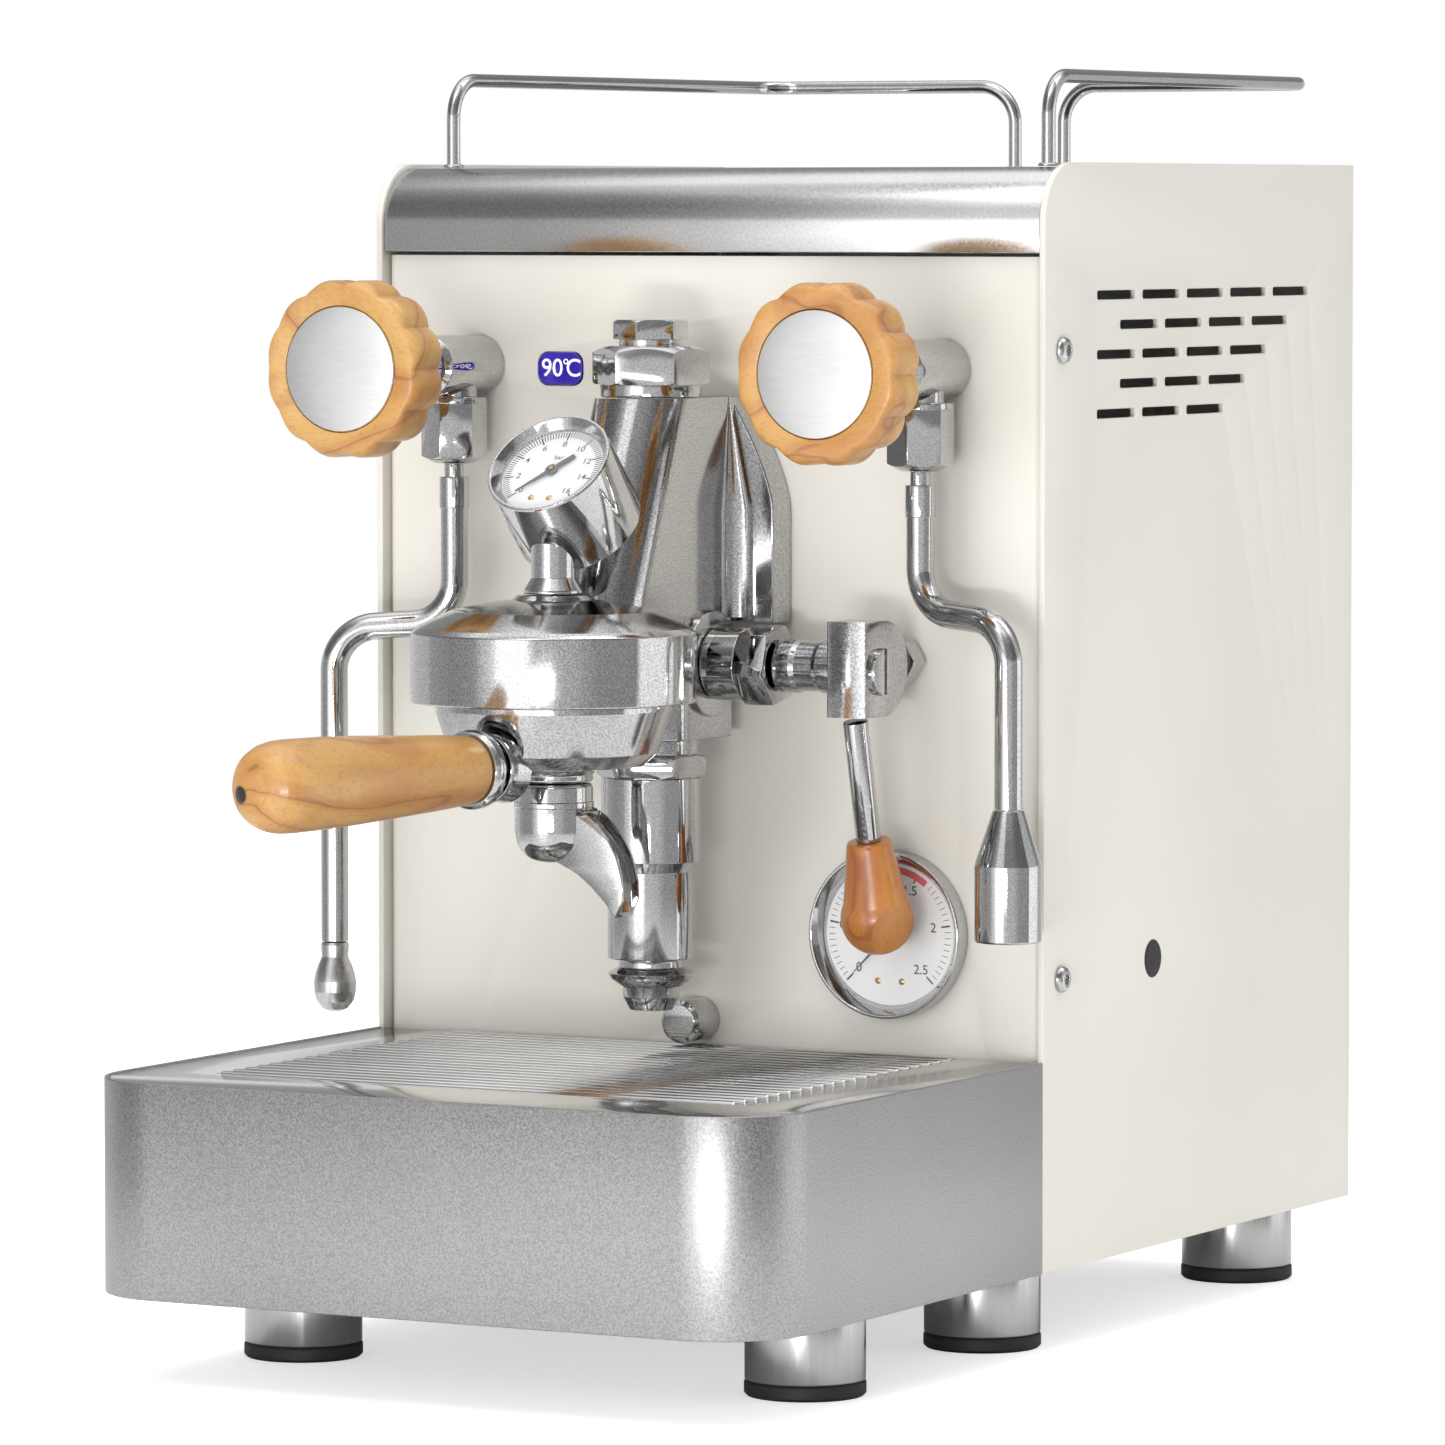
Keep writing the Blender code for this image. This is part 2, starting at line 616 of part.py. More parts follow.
def make_group_body():
    profile = [(0, BELL_TOP + 0.0012), (0.0118, BELL_TOP + 0.0012), (0.0135, BELL_TOP - 0.0005),
               (0.020, BELL_TOP - 0.0012), (BELL_RADIUS - 0.0132, BELL_TOP - 0.0040),
               (BELL_RADIUS - 0.0020, BELL_SHOULDER + 0.0002),
               (BELL_RADIUS, BELL_SHOULDER - 0.0015), (BELL_RADIUS, BELL_BOTTOM),
               (FILTER_RADIUS + 0.0012, BELL_BOTTOM), (FILTER_RADIUS + 0.0012, GASKET_LOW - 0.001),
               (GASKET_RADIUS + 0.0004, GASKET_LOW - 0.001), (GASKET_RADIUS + 0.0004, GASKET_TOP + GAP),
               (0, GASKET_TOP + GAP)]
    body = turned("group_body", profile, (0, BELL_Y, 0), steps=40, material=CHROME,
                  turn=Matrix.Rotation(OFFSET_TURN, 4, "Z"))
    slope = [(FLANGE_HALF_WIDTH, FLANGE_BOTTOM), (FLANGE_HALF_WIDTH, FLANGE_SHOULDER),
             (FLANGE_HALF_WIDTH - 0.0025, FLANGE_SHOULDER + 0.011),
             (GROUP_HALF_WIDTH + 0.001, GROUP_TOP - 0.001), (GROUP_HALF_WIDTH - 0.001, GROUP_TOP)]
    outline = slope + [(-x, z) for x, z in reversed(slope)]
    flange = plate("group_flange", [outline], "XZ", -FRONT_SETBACK + GAP, -FLANGE_FRONT)
    boss = prism("cam_boss", CAM_BOSS_RADIUS, -CAM_BOSS_FACE, CAM_BOSS_FACE, (0, CAM_Y, CAM_Z), "X", 36,
                 OFFSET_TURN)
    pipe = prism("group_spigot", GROUP_SPIGOT, -0.012, 0, (0, PANEL_BACK + GAP + 0.003, GROUP_PIPE_Z),
                 "Y", 20)
    foot = prism("chamber_foot", GROUP_HALF_WIDTH - 0.0004, CHAMBER_TOP, GROUP_BOTTOM + 0.002,
                 (0, CHAMBER_Y, 0), "Z", 32, OFFSET_TURN)
    return join(body, make_neck(), flange, boss, pipe, foot)


def make_top_cap():
    at = (0, CHAMBER_Y, GROUP_TOP + GAP)
    cap = prism("group_top_cap", 0.0170, 0, 0.0045, at, "Z", 32, material=CHROME)
    corner = math.radians(-68)
    hexagon = prism("cap_hexagon", 0.0198, 0.0043, 0.0172, at, "Z", 6, corner)
    crown = prism("cap_crown", 0.0200, 0.0, 0.0186, at, "Z", 36, end_radius=0.0158)
    stack = prism("cap_ring", 0.0108, 0.0168, 0.0196, at, "Z", 28)
    nut = prism("cap_nut", 0.0127, 0.0194, 0.0260, at, "Z", 6, math.radians(-55))
    ease = boolean(hexagon, "INTERSECT", [crown])
    return join(cap, ease, stack, nut)


def make_cam_gland():
    at = (0, CAM_Y, CAM_Z)
    start, end = CAM_BOSS_FACE + GAP, CAM_BOSS_FACE + GAP + GLAND_LENGTH
    gland = prism("cam_gland", 0.0123, start, end - 0.0113, at, "X", 32, material=CHROME)
    nut = prism("gland_nut", 0.0140, end - 0.0115, end, at, "X", 6, math.radians(12))
    return join(gland, nut)


def make_lower_chamber():
    top, low, wide = CHAMBER_TOP - GAP, CHAMBER_BOTTOM, CHAMBER_RADIUS
    neck, flange = wide - 0.0060, wide - 0.0023
    profile = [(0, top), (0.0140, top), (0.0140, top - 0.0075), (wide, top - 0.0078), (wide, low + 0.0505),
               (flange, low + 0.0470), (flange, low + 0.0175), (neck, low + 0.0172), (neck, low + 0.0145),
               (flange, low + 0.0125), (flange - 0.0010, low + 0.0105), (neck - 0.0005, low + 0.0082),
               (neck - 0.0014, low + 0.0080), (neck - 0.0014, low + 0.0044), (neck - 0.0038, low), (0, low)]
    body = turned("lower_chamber", profile, (0, CHAMBER_Y, 0), steps=24, material=CHROME)
    nut = prism("chamber_nut", wide + 0.0015, top - 0.0077, top - 0.0004, (0, CHAMBER_Y, 0), "Z", 6,
                math.radians(-68))
    return join(body, nut)


def make_gasket():
    profile = [(GASKET_BORE, GASKET_TOP), (GASKET_RADIUS, GASKET_TOP), (GASKET_RADIUS, GASKET_LOW),
               (GASKET_BORE, GASKET_LOW), (GASKET_BORE, GASKET_TOP)]
    return turned("group_gasket", profile, (0, BELL_Y, 0), steps=32, material=RUBBER)


def make_screen():
    radius, top, low = GASKET_BORE - 0.0006, GASKET_TOP - 0.0020, GASKET_LOW + 0.0008
    profile = [(0, top), (radius, top), (radius, low + 0.0012), (radius - 0.0016, low), (0, low)]
    return turned("shower_screen", profile, (0, BELL_Y, 0), steps=32, material=STEEL)


def make_drain_fitting():
    at = (DRAIN_X, FRONT_SETBACK, DRAIN_Z)
    fitting = prism("drain_fitting", 0.0074, -0.0165, -GAP, at, "Y", 24, material=CHROME)
    spigot = prism("drain_spigot", 0.0060, -0.004, 0.012, at, "Y", 20)
    return join(fitting, spigot)


# ---------------------------------------------------------------- brew lever

def make_lever():
    at = (0, CAM_Y, CAM_Z)
    low, high, half = LEVER_X - LEVER_THICKNESS / 2, LEVER_X + LEVER_THICKNESS / 2, LEVER_HEAD
    outline = [(CAM_Y - 0.015, CAM_Z - half)] + arc((CAM_Y, CAM_Z), half, -90, 90, 10)
    outline.append((CAM_Y - 0.015, CAM_Z + half))
    head = plate("lever_head", [outline], "YZ", low, high, CHROME)
    spindle = prism("lever_spindle", 0.0090, CAM_BOSS_FACE + GLAND_LENGTH + 0.0013, low + 0.002, at, "X", 28)
    disc_at = Vector((0, CAM_Y - 0.0045, CAM_Z - 0.001))
    disc = prism("spindle_disc", 0.0080, high - 0.001, high + 0.0022, disc_at, "X", 28)
    slot = box("spindle_slot", disc_at + Vector((high + 0.001, -0.001, -0.02)),
               disc_at + Vector((high + 0.01, 0.001, 0.02)))
    cut(join(head, spindle, disc), slot)
    rod = tube("lever_rod", [ROD_TOP, ROD_TOP + ROD_WAY * ROD_LENGTH], 0.0042, CHROME)
    bolt = prism("lever_bolt", 0.0078, 0, 0.0118, (LEVER_X, CAM_Y + half + GAP, CAM_Z + 0.001), "Y", 6,
                 math.radians(30), CHROME)
    pivot("brew_lever_axis", at, [head, rod, bolt, make_lever_knob()])


def make_lever_knob():
    """A tapered wooden knob that swells into a ball, with a flat cut on the ball."""
    length, top, ball = LEVER_KNOB_LENGTH, 0.0072, 0.0124
    way = (-ROD_WAY).normalized()
    turn = Vector((0, 0, 1)).rotation_difference(way).to_matrix().to_4x4()
    profile = [(0, length), (top, length), (top + 0.0004, length - 0.001), (0.0108, 0.0065)]
    profile += arc((0, 0), ball, 22, -73, 6) + [(0, -ball)]
    knob = turned("lever_knob", profile, LEVER_BALL, steps=20, material=WOOD, turn=turn)
    facing = Vector((0.84, -0.39, -0.39)).normalized()
    aim = Vector((0, 0, 1)).rotation_difference(facing).to_matrix().to_4x4()
    cutter = prism("knob_flat", 0.02, 0.0088, 0.03, (0, 0, 0), "Z", 24)
    cutter.matrix_world = Matrix.Translation(LEVER_BALL) @ aim
    return cut(knob, cutter)


# ---------------------------------------------------------------- filter holder

def along_handle(distance, height=HANDLE_Z):
    return Vector((0, BELL_Y, height)) + HANDLE_WAY * distance


def make_filter_holder():
    top = GASKET_LOW - GAP - 0.0012 - GAP
    neck_inside, bore, collar = FILTER_RADIUS - 0.0038, FILTER_RADIUS - 0.0068, FILTER_RADIUS - 0.0063
    profile = [(bore, top), (neck_inside, top), (neck_inside, BELL_BOTTOM + 0.0070),
               (FILTER_RADIUS, BELL_BOTTOM + 0.0062), (FILTER_RADIUS, BELL_BOTTOM - 0.0022),
               (FILTER_RADIUS - 0.0048, HANDLE_Z + 0.0035), (BASKET_RADIUS, HANDLE_Z - 0.0008),
               (0.0140, HANDLE_Z - 0.0022), (0.0130, HANDLE_Z - 0.0062), (0.0060, HANDLE_Z - 0.0062),
               (0.0060, HANDLE_Z + 0.0028), (bore, HANDLE_Z + 0.0028), (bore, top)]
    body = turned("portafilter", profile, (0, BELL_Y, 0), steps=32, material=CHROME)
    neck_profile = [(0, 0.0075), (0.0075, 0.0075), (0.0075, 0.0050), (0.0115, 0.0048), (0.0115, 0.0030),
                    (0.0090, 0.0020), (0.0110, 0), (0, 0)]
    neck = turned("portafilter_neck", neck_profile, along_handle(collar), steps=20, turn=handle_turn())
    return join(body, neck)


def handle_turn():
    return Vector((0, 0, 1)).rotation_difference(HANDLE_WAY).to_matrix().to_4x4()


def make_handle():
    turn, start = handle_turn(), FILTER_RADIUS + 0.0017
    bore, ring = 0.0077, 0.0130
    ferrule_profile = [(bore, 0.0055), (ring - 0.0012, 0.0055), (ring, 0.0042), (ring, 0.0015),
                       (ring - 0.0012, 0), (bore, 0), (bore, 0.0055)]
    ferrule = turned("handle_ferrule", ferrule_profile, along_handle(start), steps=28, material=CHROME,
                     turn=turn)
    length = HANDLE_END - start - 0.0055 - GAP
    grip_profile = [(0, length), (0.0070, length - 0.0008), (0.0115, length - 0.0035),
                    (0.0142, length - 0.0080), (0.0150, length - 0.0150), (0.0148, length - 0.0350),
                    (0.0136, length - 0.0650), (0.0122, length - 0.0950), (0.0112, 0), (0, 0)]
    grip = turned("handle_grip", grip_profile, along_handle(HANDLE_END - length), steps=28, material=WOOD,
                  turn=turn)
    return ferrule, grip


def make_basket():
    rim = GASKET_LOW - GAP
    low, radius = HANDLE_Z + 0.0072, BASKET_RADIUS
    profile = [(radius, rim), (radius + 0.0050, rim), (radius + 0.0050, rim - 0.0012),
               (radius + 0.0010, rim - 0.0012), (radius - 0.0010, low), (0, low), (0, low + 0.0010),
               (radius - 0.0016, low + 0.0010), (radius, rim)]
    return turned("filter_basket", profile, (0, BELL_Y, 0), steps=28, material=STEEL)


def make_spout():
    top = HANDLE_Z - 0.0062 - GAP
    profile = [(0.0088, top), (0.0118, top), (0.0130, top - 0.0010), (0.0130, top - 0.0175),
               (0.0118, top - 0.0220), (0.0085, top - 0.0253), (0.0040, top - 0.0265), (0, top - 0.0265),
               (0, top - 0.0065), (0.0088, top - 0.0065), (0.0088, top)]
    spout = turned("spout", profile, (0, BELL_Y, 0), steps=28, material=CHROME)
    upper = [(0.0060, top - 0.0065), (0.0110, top - 0.0075), (0.0170, top - 0.0107), (0.0230, top - 0.0170),
             (0.0268, top - 0.0235), (0.0290, top - 0.0315), (0.0292, top - 0.0375)]
    lower = [(0.0264, top - 0.0436), (0.0226, top - 0.0390), (0.0175, top - 0.0340), (0.0115, top - 0.0293),
             (0.0040, top - 0.0260)]
    half, wall = 0.0058, 0.0014
    chute = plate("spout_chute", [upper + lower], "XZ", -BELL_Y - half, -BELL_Y + half)
    inner = [(0.0142, top - 0.0097)] + [(x - 0.0024, z - 0.0022) for x, z in upper[2:-1]]
    inner.append((upper[-1][0] - 0.0024, top - 0.0420))
    outer = [(0.045, top - 0.0420)] + [(x + 0.01, z + 0.01) for x, z in reversed(upper[1:-1])]
    channel = plate("spout_channel", [inner + outer], "XZ", -BELL_Y - half + wall, -BELL_Y + half - wall)
    return cut(join(spout, chute), channel)


# ---------------------------------------------------------------- taps and wands

def make_tap(name, x):
    profile = [(0, 0.0600), (0.0068, 0.0600), (0.0068, 0.0525), (0.0096, 0.0500), (0.0096, 0.0440),
               (0.0082, 0.0430), (0.0082, 0.0370), (0.0105, 0.0360), (0.0105, GAP), (0.0070, GAP),
               (0.0070, -0.010), (0, -0.010)]
    body = turned(name, profile, (x, FRONT_SETBACK, TAP_Z), "-Y", steps=20, material=CHROME)
    at = (x, WAND_Y, 0)
    ring = prism(f"{name}_ring", 0.0112, TAP_Z - 0.0130, TAP_Z - 0.0108, at, "Z", 20, OFFSET_TURN)
    stem = prism(f"{name}_stem", 0.0080, TAP_Z - 0.0150, TAP_Z - 0.0040, at, "Z", 16, 2 * OFFSET_TURN)
    nut = prism(f"{name}_nut", 0.0113, NUT_BOTTOM, TAP_Z - 0.0122, at, "Z", 6, math.radians(4))
    taper = prism(f"{name}_taper", 0.0070, NUT_BOTTOM, NUT_BOTTOM + 0.0300, at, "Z", 20, end_radius=0.0400)
    boolean(nut, "INTERSECT", [taper])
    return join(body, ring, stem, nut)


def make_tap_knob(name, x):
    """A scalloped wooden knob with a steel disc in its face, turning on the tap's stem."""
    at, sides = (x, KNOB_FRONT, TAP_Z), 4 * KNOB_LOBES
    rings = ((0.0280, 0.0004, 0.0), (KNOB_RADIUS, 0.0022, 0.0045), (KNOB_RADIUS, 0.0024, 0.0145),
             (0.0240, 0.0010, KNOB_DEPTH))

    def build(shape):
        loops = []
        for radius, depth, y in rings:
            loop = []
            for i in range(sides):
                angle = 2 * math.pi * i / sides
                r = radius - depth * (1 - math.cos(KNOB_LOBES * angle)) / 2
                loop.append(shape.verts.new((r * math.cos(angle), y, r * math.sin(angle))))
            loops.append(loop)
        for first, second in zip(loops, loops[1:]):
            for i in range(sides):
                j = (i + 1) % sides
                shape.faces.new((first[i], first[j], second[j], second[i]))
        shape.faces.new(loops[0])
        shape.faces.new(loops[-1])
    mesh = mesh_of(build, name)
    smooth(mesh)
    knob = add(name, mesh, WOOD, at)
    seat = prism(f"{name}_seat", 0.0216, -0.01, 0.0022, at, "Y", 28)
    bush = prism(f"{name}_bush", 0.0080, KNOB_DEPTH - 0.001, KNOB_DEPTH + 0.0052, at, "Y", 16)
    cut(join(knob, bush), seat)
    cap_profile = [(0, 0.0006), (0.0195, 0.0003), (0.0212, -0.0002), (0.0212, -0.0019), (0, -0.0019)]
    cap = turned(f"{name}_cap", cap_profile, at, "-Y", steps=28, material=BRUSHED)
    return knob, cap


def wand_route(side, bend_z, low):
    x, y = side * TAP_X, WAND_Y
    out_x, out_y = side * (TAP_X + WAND_OUT), WAND_Y - WAND_FORWARD
    return bent([(x, y, NUT_BOTTOM - GAP - 0.0045), (x, y, bend_z + 0.0015),
                 (out_x, out_y, bend_z - 0.0015), (out_x, out_y, low)], 0.0155, 5)


def make_wand(name, side, bend_z, low):
    wand = tube(name, wand_route(side, bend_z, low), WAND_RADIUS, CHROME, 3)
    at = (side * TAP_X, WAND_Y, 0)
    neck = prism(f"{name}_neck", 0.0034, NUT_BOTTOM - 0.0060, NUT_BOTTOM - GAP, at, "Z", 20)
    collar = prism(f"{name}_collar", WAND_RADIUS + 0.0004, NUT_BOTTOM - 0.0155, NUT_BOTTOM - 0.0047,
                   at, "Z", 20)
    return join(wand, neck, collar)


def make_steam_tip(x, y):
    top, low = STEAM_TIP_TOP, STEAM_TIP_TOP - STEAM_TIP_LENGTH
    profile = [(0, top), (0.0049, top), (0.0046, top - 0.0052), (0.0066, top - 0.0094),
               (0.0073, low + 0.0107), (0.0066, low + 0.0047), (0.0040, low + 0.0008), (0, low)]
    return turned("steam_tip", profile, (x, y, 0), steps=20, material=STEEL)


def make_water_nozzle(x, y):
    top, low = NOZZLE_TOP, NOZZLE_BOTTOM
    profile = [(0, top), (0.0052, top), (0.0108, top - 0.0168), (0.0112, top - 0.0183),
               (0.0112, low + 0.0005), (0.0106, low), (0.0095, low), (0.0095, low + 0.0190),
               (0, low + 0.0190)]
    return turned("water_nozzle", profile, (x, y, 0), steps=24, material=CHROME)


# ---------------------------------------------------------------- gauges

def gauge_case(name, radius, depth, at, turn, rim):
    """A round can with a rolled rim; its dial floor lies rim metres behind the front."""
    inner = radius - 0.0035
    profile = [(0, -rim), (inner, -rim), (inner, -0.0006), (inner + 0.0010, 0), (radius - 0.0009, 0),
               (radius, -0.0010), (radius, -depth), (0, -depth)]
    return turned(name, profile, at, steps=32, material=CHROME, turn=turn)


def needle(name, at, turn, length, height):
    """A pointer with a hub, lying height behind the gauge's front and pointing at the scale's zero."""
    def build(shape):
        bmesh.ops.create_cone(shape, cap_ends=True, segments=16, radius1=length * 0.16, radius2=length * 0.16,
                              depth=0.0010)
    hub = add(name, mesh_of(build, name), DARK)
    hub.matrix_world = Matrix.Translation(at) @ turn @ Matrix.Translation((0, 0, -height))
    zero = math.radians(225)
    way, across = Vector((math.cos(zero), math.sin(zero), 0)), Vector((-math.sin(zero), math.cos(zero), 0))
    corners = [way * length, way * -0.45 * length + across * 0.0011, way * -0.45 * length - across * 0.0011]
    corners[0:1] = [way * length - across * 0.0003, way * length + across * 0.0003]
    hand = plate(f"{name}_hand", [[(p.x, p.y) for p in corners]], "XY", -0.0003, 0.0003)
    hand.matrix_world = hub.matrix_world.copy()
    return join(hub, hand)


def make_boiler_gauge():
    front = FRONT_SETBACK - 0.0075
    at = Vector((BOILER_GAUGE_X, front, BOILER_GAUGE_Z))
    case = gauge_case("boiler_gauge", BOILER_GAUGE_RADIUS, 0.0075 - GAP, at, TURNS["-Y"], 0.0055)
    can = prism("boiler_gauge_can", BOILER_GAUGE_RADIUS - 0.0025, -0.030, -0.007, at, "-Y", 32)
    join(case, can)
    hand = needle("boiler_gauge_needle", at, TURNS["-Y"], 0.019, 0.0042)
    pivot("boiler_gauge_axis", at, [hand])


def make_pump_gauge():
    turn = Matrix.Rotation(PUMP_GAUGE_TILT, 4, "X")
    at = PUMP_GAUGE_FACE
    case = gauge_case("pump_gauge", PUMP_GAUGE_RADIUS, PUMP_GAUGE_LENGTH, at, turn, 0.0045)
    top = at.z - PUMP_GAUGE_LENGTH * math.cos(PUMP_GAUGE_TILT) + 0.004
    stem = turned("pump_gauge_stem", [(0, top), (0.0074, top), (0.0074, 0.2640), (0.0098, 0.2600),
                                      (0.0100, BELL_TOP + 0.0012 + GAP), (0, BELL_TOP + 0.0012 + GAP)],
                  (0, BELL_Y, 0), steps=20)
    join(case, stem)
    hand = needle("pump_gauge_needle", at, turn, 0.014, 0.0034)
    pivot("pump_gauge_axis", at, [hand])


# ---------------------------------------------------------------- inside and back

def make_boiler():
    at = (-0.080, 0.098, 0.250)
    profile = [(0, 0.160), (0.030, 0.160), (0.050, 0.152), (0.055, 0.142), (0.055, 0.018), (0.050, 0.008),
               (0.030, 0), (0, 0)]
    boiler = turned("boiler", profile, at, "X", steps=28, material=COPPER)
    legs = [box(f"boiler_leg_{i}", (x - 0.008, 0.090, FLOOR_Z + GAP), (x + 0.008, 0.106, 0.215))
            for i, x in enumerate((-0.050, 0.050))]
    start = PANEL_BACK + GAP + 0.003 + GAP
    pipe = tube("group_pipe", [(0, start, GROUP_PIPE_Z), (0, start + 0.015, GROUP_PIPE_Z),
                               (0, 0.085, GROUP_PIPE_Z - 0.020)], 0.005)
    return join(boiler, pipe, *legs)


def make_pump():
    at = (-0.105, 0.060, 0.075)
    profile = [(0, 0.085), (0.010, 0.085), (0.010, 0.072), (0.021, 0.072), (0.021, 0.014), (0.012, 0.014),
               (0.012, 0), (0, 0)]
    pump = turned("pump", profile, at, "X", steps=24, material=DARK)
    saddle = box("pump_saddle", (-0.085, 0.046, FLOOR_Z + GAP), (-0.040, 0.074, 0.066))
    return join(pump, saddle)


def make_inlet():
    """The mains inlet at the back, with the power rocker in the same module."""
    width, height = INLET_SIZE
    low = (INLET_X - width / 2, REAR_Y - 0.022, INLET_Z - height / 2)
    high = (INLET_X + width / 2, REAR_Y - SHEET + 0.002, INLET_Z + height / 2)
    module = box("power_inlet", low, high, DARK)
    socket = box("inlet_socket", (INLET_X - 0.012, REAR_Y - 0.016, INLET_Z - 0.019),
                 (INLET_X + 0.012, REAR_Y + 0.01, INLET_Z - 0.003))
    pins = []
    for i, x in enumerate((INLET_X - 0.007, INLET_X, INLET_X + 0.007)):
        pins.append(box(f"inlet_pin_{i}", (x - 0.001, REAR_Y - 0.017, INLET_Z - 0.014),
                        (x + 0.001, REAR_Y - 0.004, INLET_Z - 0.008)))
    well = box("rocker_well", (INLET_X - 0.0088, REAR_Y - 0.014, INLET_Z + 0.002),
               (INLET_X + 0.0088, REAR_Y + 0.01, INLET_Z + 0.0188))
    join(cut(module, socket, well), *pins)
    at = (INLET_X, REAR_Y - 0.0045, INLET_Z + 0.0104)
    rocker = prism("power_rocker", 0.0072, -0.008, 0.008, at, "X", 20, material=DARK)
    dent = prism("rocker_dent", 0.012, -0.02, 0.02, (INLET_X, at[1] + 0.0155, at[2]), "X", 28)
    cut(rocker, dent)
    pivot("power_rocker_axis", at, [rocker])


def make_tank():
    half, front, back, wall = TANK_HALF_WIDTH, TANK_FRONT, TANK_BACK, TANK_WALL
    top = TOP_Z - SHEET - 0.0045
    middle = (0, (front + back) / 2)
    outline = rounded(middle, (2 * half, back - front), 0.008)
    tank = plate("water_tank", [outline], "XY", FLOOR_Z + GAP, top, CLEAR)
    hollow = rounded(middle, (2 * (half - wall), back - front - 2 * wall), 0.006)
    cut(tank, plate("tank_inside", [hollow], "XY", FLOOR_Z + GAP + wall, top + 0.01))
    lid_size = (2 * (half + HATCH_MARGIN - SLIDE), TANK_DEPTH + 1.5 * HATCH_MARGIN - 2 * SLIDE)
    lid = plate("tank_lid", [rounded(middle, lid_size, HATCH_CORNER - 0.0005)], "XY", top + GAP, TOP_Z, STEEL)
    holder = pivot("water_tank_slide", (0, middle[1], FLOOR_Z), [tank])
    cover = pivot("tank_lid_slide", (0, middle[1], TOP_Z), [lid])
    cover.parent = holder
    cover.matrix_parent_inverse = Matrix.Translation(holder.location).inverted()


def centre_on_feet():
    """Moves everything along Y so that the origin is under the middle of the machine."""
    bpy.context.view_layer.update()
    graph = bpy.context.evaluated_depsgraph_get()
    reach = []
    for obj in PARTS.objects:
        if obj.type == "MESH":
            mesh = obj.evaluated_get(graph).to_mesh()
            reach += [(obj.matrix_world @ vertex.co).y for vertex in mesh.vertices]
    shift = -(min(reach) + max(reach)) / 2
    for obj in list(PARTS.objects) + list(CUTTERS.objects):
        if obj.parent is None:
            obj.location.y += shift
    print(f"casing front edge at Y = {shift:.5f}")


clear_scene()
PARTS = new_collection("espresso_machine")
CUTTERS = new_collection("cutters")

CREAM = finish("cream paint", (0.78, 0.75, 0.67), 0.35)
BRUSHED = finish("brushed steel", (0.62, 0.62, 0.62), 0.38, 1)
STEEL = finish("steel", (0.58, 0.58, 0.58), 0.25, 1)
POLISHED = finish("polished steel", (0.70, 0.70, 0.69), 0.10, 1)
CHROME = finish("chrome", (0.80, 0.80, 0.80), 0.06, 1)
COPPER = finish("copper", (0.75, 0.42, 0.27), 0.30, 1)
WOOD = finish("olive wood", (0.62, 0.36, 0.14), 0.40)
RUBBER = finish("black rubber", (0.02, 0.02, 0.02), 0.75)
DARK = finish("dark plastic", (0.03, 0.03, 0.03), 0.45)
BLUE = finish("display blue", (0.03, 0.01, 0.35), 0.20)
CLEAR = finish("clear tank", (0.75, 0.82, 0.85), 0.15)

make_base_frame()
make_side_cover(1, "side_cover_right")
make_side_cover(-1, "side_cover_left")
make_front_panel()
make_rear_panel()
make_visor()
make_cup_tray()
make_rail(1, "cup_rail_right")
make_rail(-1, "cup_rail_left")
for row, foot_y in FOOT_ROWS.items():
    make_foot(f"foot_{row}_left", -FOOT_X, foot_y)
    make_foot(f"foot_{row}_right", FOOT_X, foot_y)
for level, screw_z in SCREW_HEIGHTS.items():
    make_screw(f"cover_screw_{level}_left", -1, screw_z)
    make_screw(f"cover_screw_{level}_right", 1, screw_z)
make_display()

make_group_body()
make_top_cap()
make_cam_gland()
make_lower_chamber()
make_gasket()
make_screen()
make_drain_fitting()
make_lever()
make_boiler_gauge()
make_pump_gauge()

holder_pieces = [make_filter_holder(), *make_handle(), make_basket(), make_spout()]
pivot("portafilter_axis", (0, BELL_Y, HANDLE_Z), holder_pieces)

for tap, wand, side in (("steam", "steam_wand", -1), ("water", "water_wand", 1)):
    make_tap(f"{tap}_valve", side * TAP_X)
    knob_pieces = make_tap_knob(f"{tap}_knob", side * TAP_X)
    pivot(f"{tap}_knob_axis", (side * TAP_X, KNOB_FRONT, TAP_Z), knob_pieces)
wand_y = WAND_Y - WAND_FORWARD
wand_x = TAP_X + WAND_OUT
pivot("steam_wand_axis", (-TAP_X, WAND_Y, NUT_BOTTOM),
      [make_wand("steam_wand", -1, NUT_BOTTOM - STEAM_BEND, STEAM_TIP_TOP + GAP),
       make_steam_tip(-wand_x, wand_y)])
pivot("water_wand_axis", (TAP_X, WAND_Y, NUT_BOTTOM),
      [make_wand("water_wand", 1, NUT_BOTTOM - WATER_BEND, NOZZLE_TOP + GAP),
       make_water_nozzle(wand_x, wand_y)])

make_boiler()
make_pump()
box("control_box", (0.064, 0.070, FLOOR_Z + GAP), (0.120, 0.140, 0.095), DARK)
make_inlet()
make_tank()
drawer_pieces = [make_tray_housing(), make_drip_tray(), make_grate()]
pivot("drip_drawer_slide", (0, -TRAY_REACH, UNDERSIDE), drawer_pieces)
centre_on_feet()
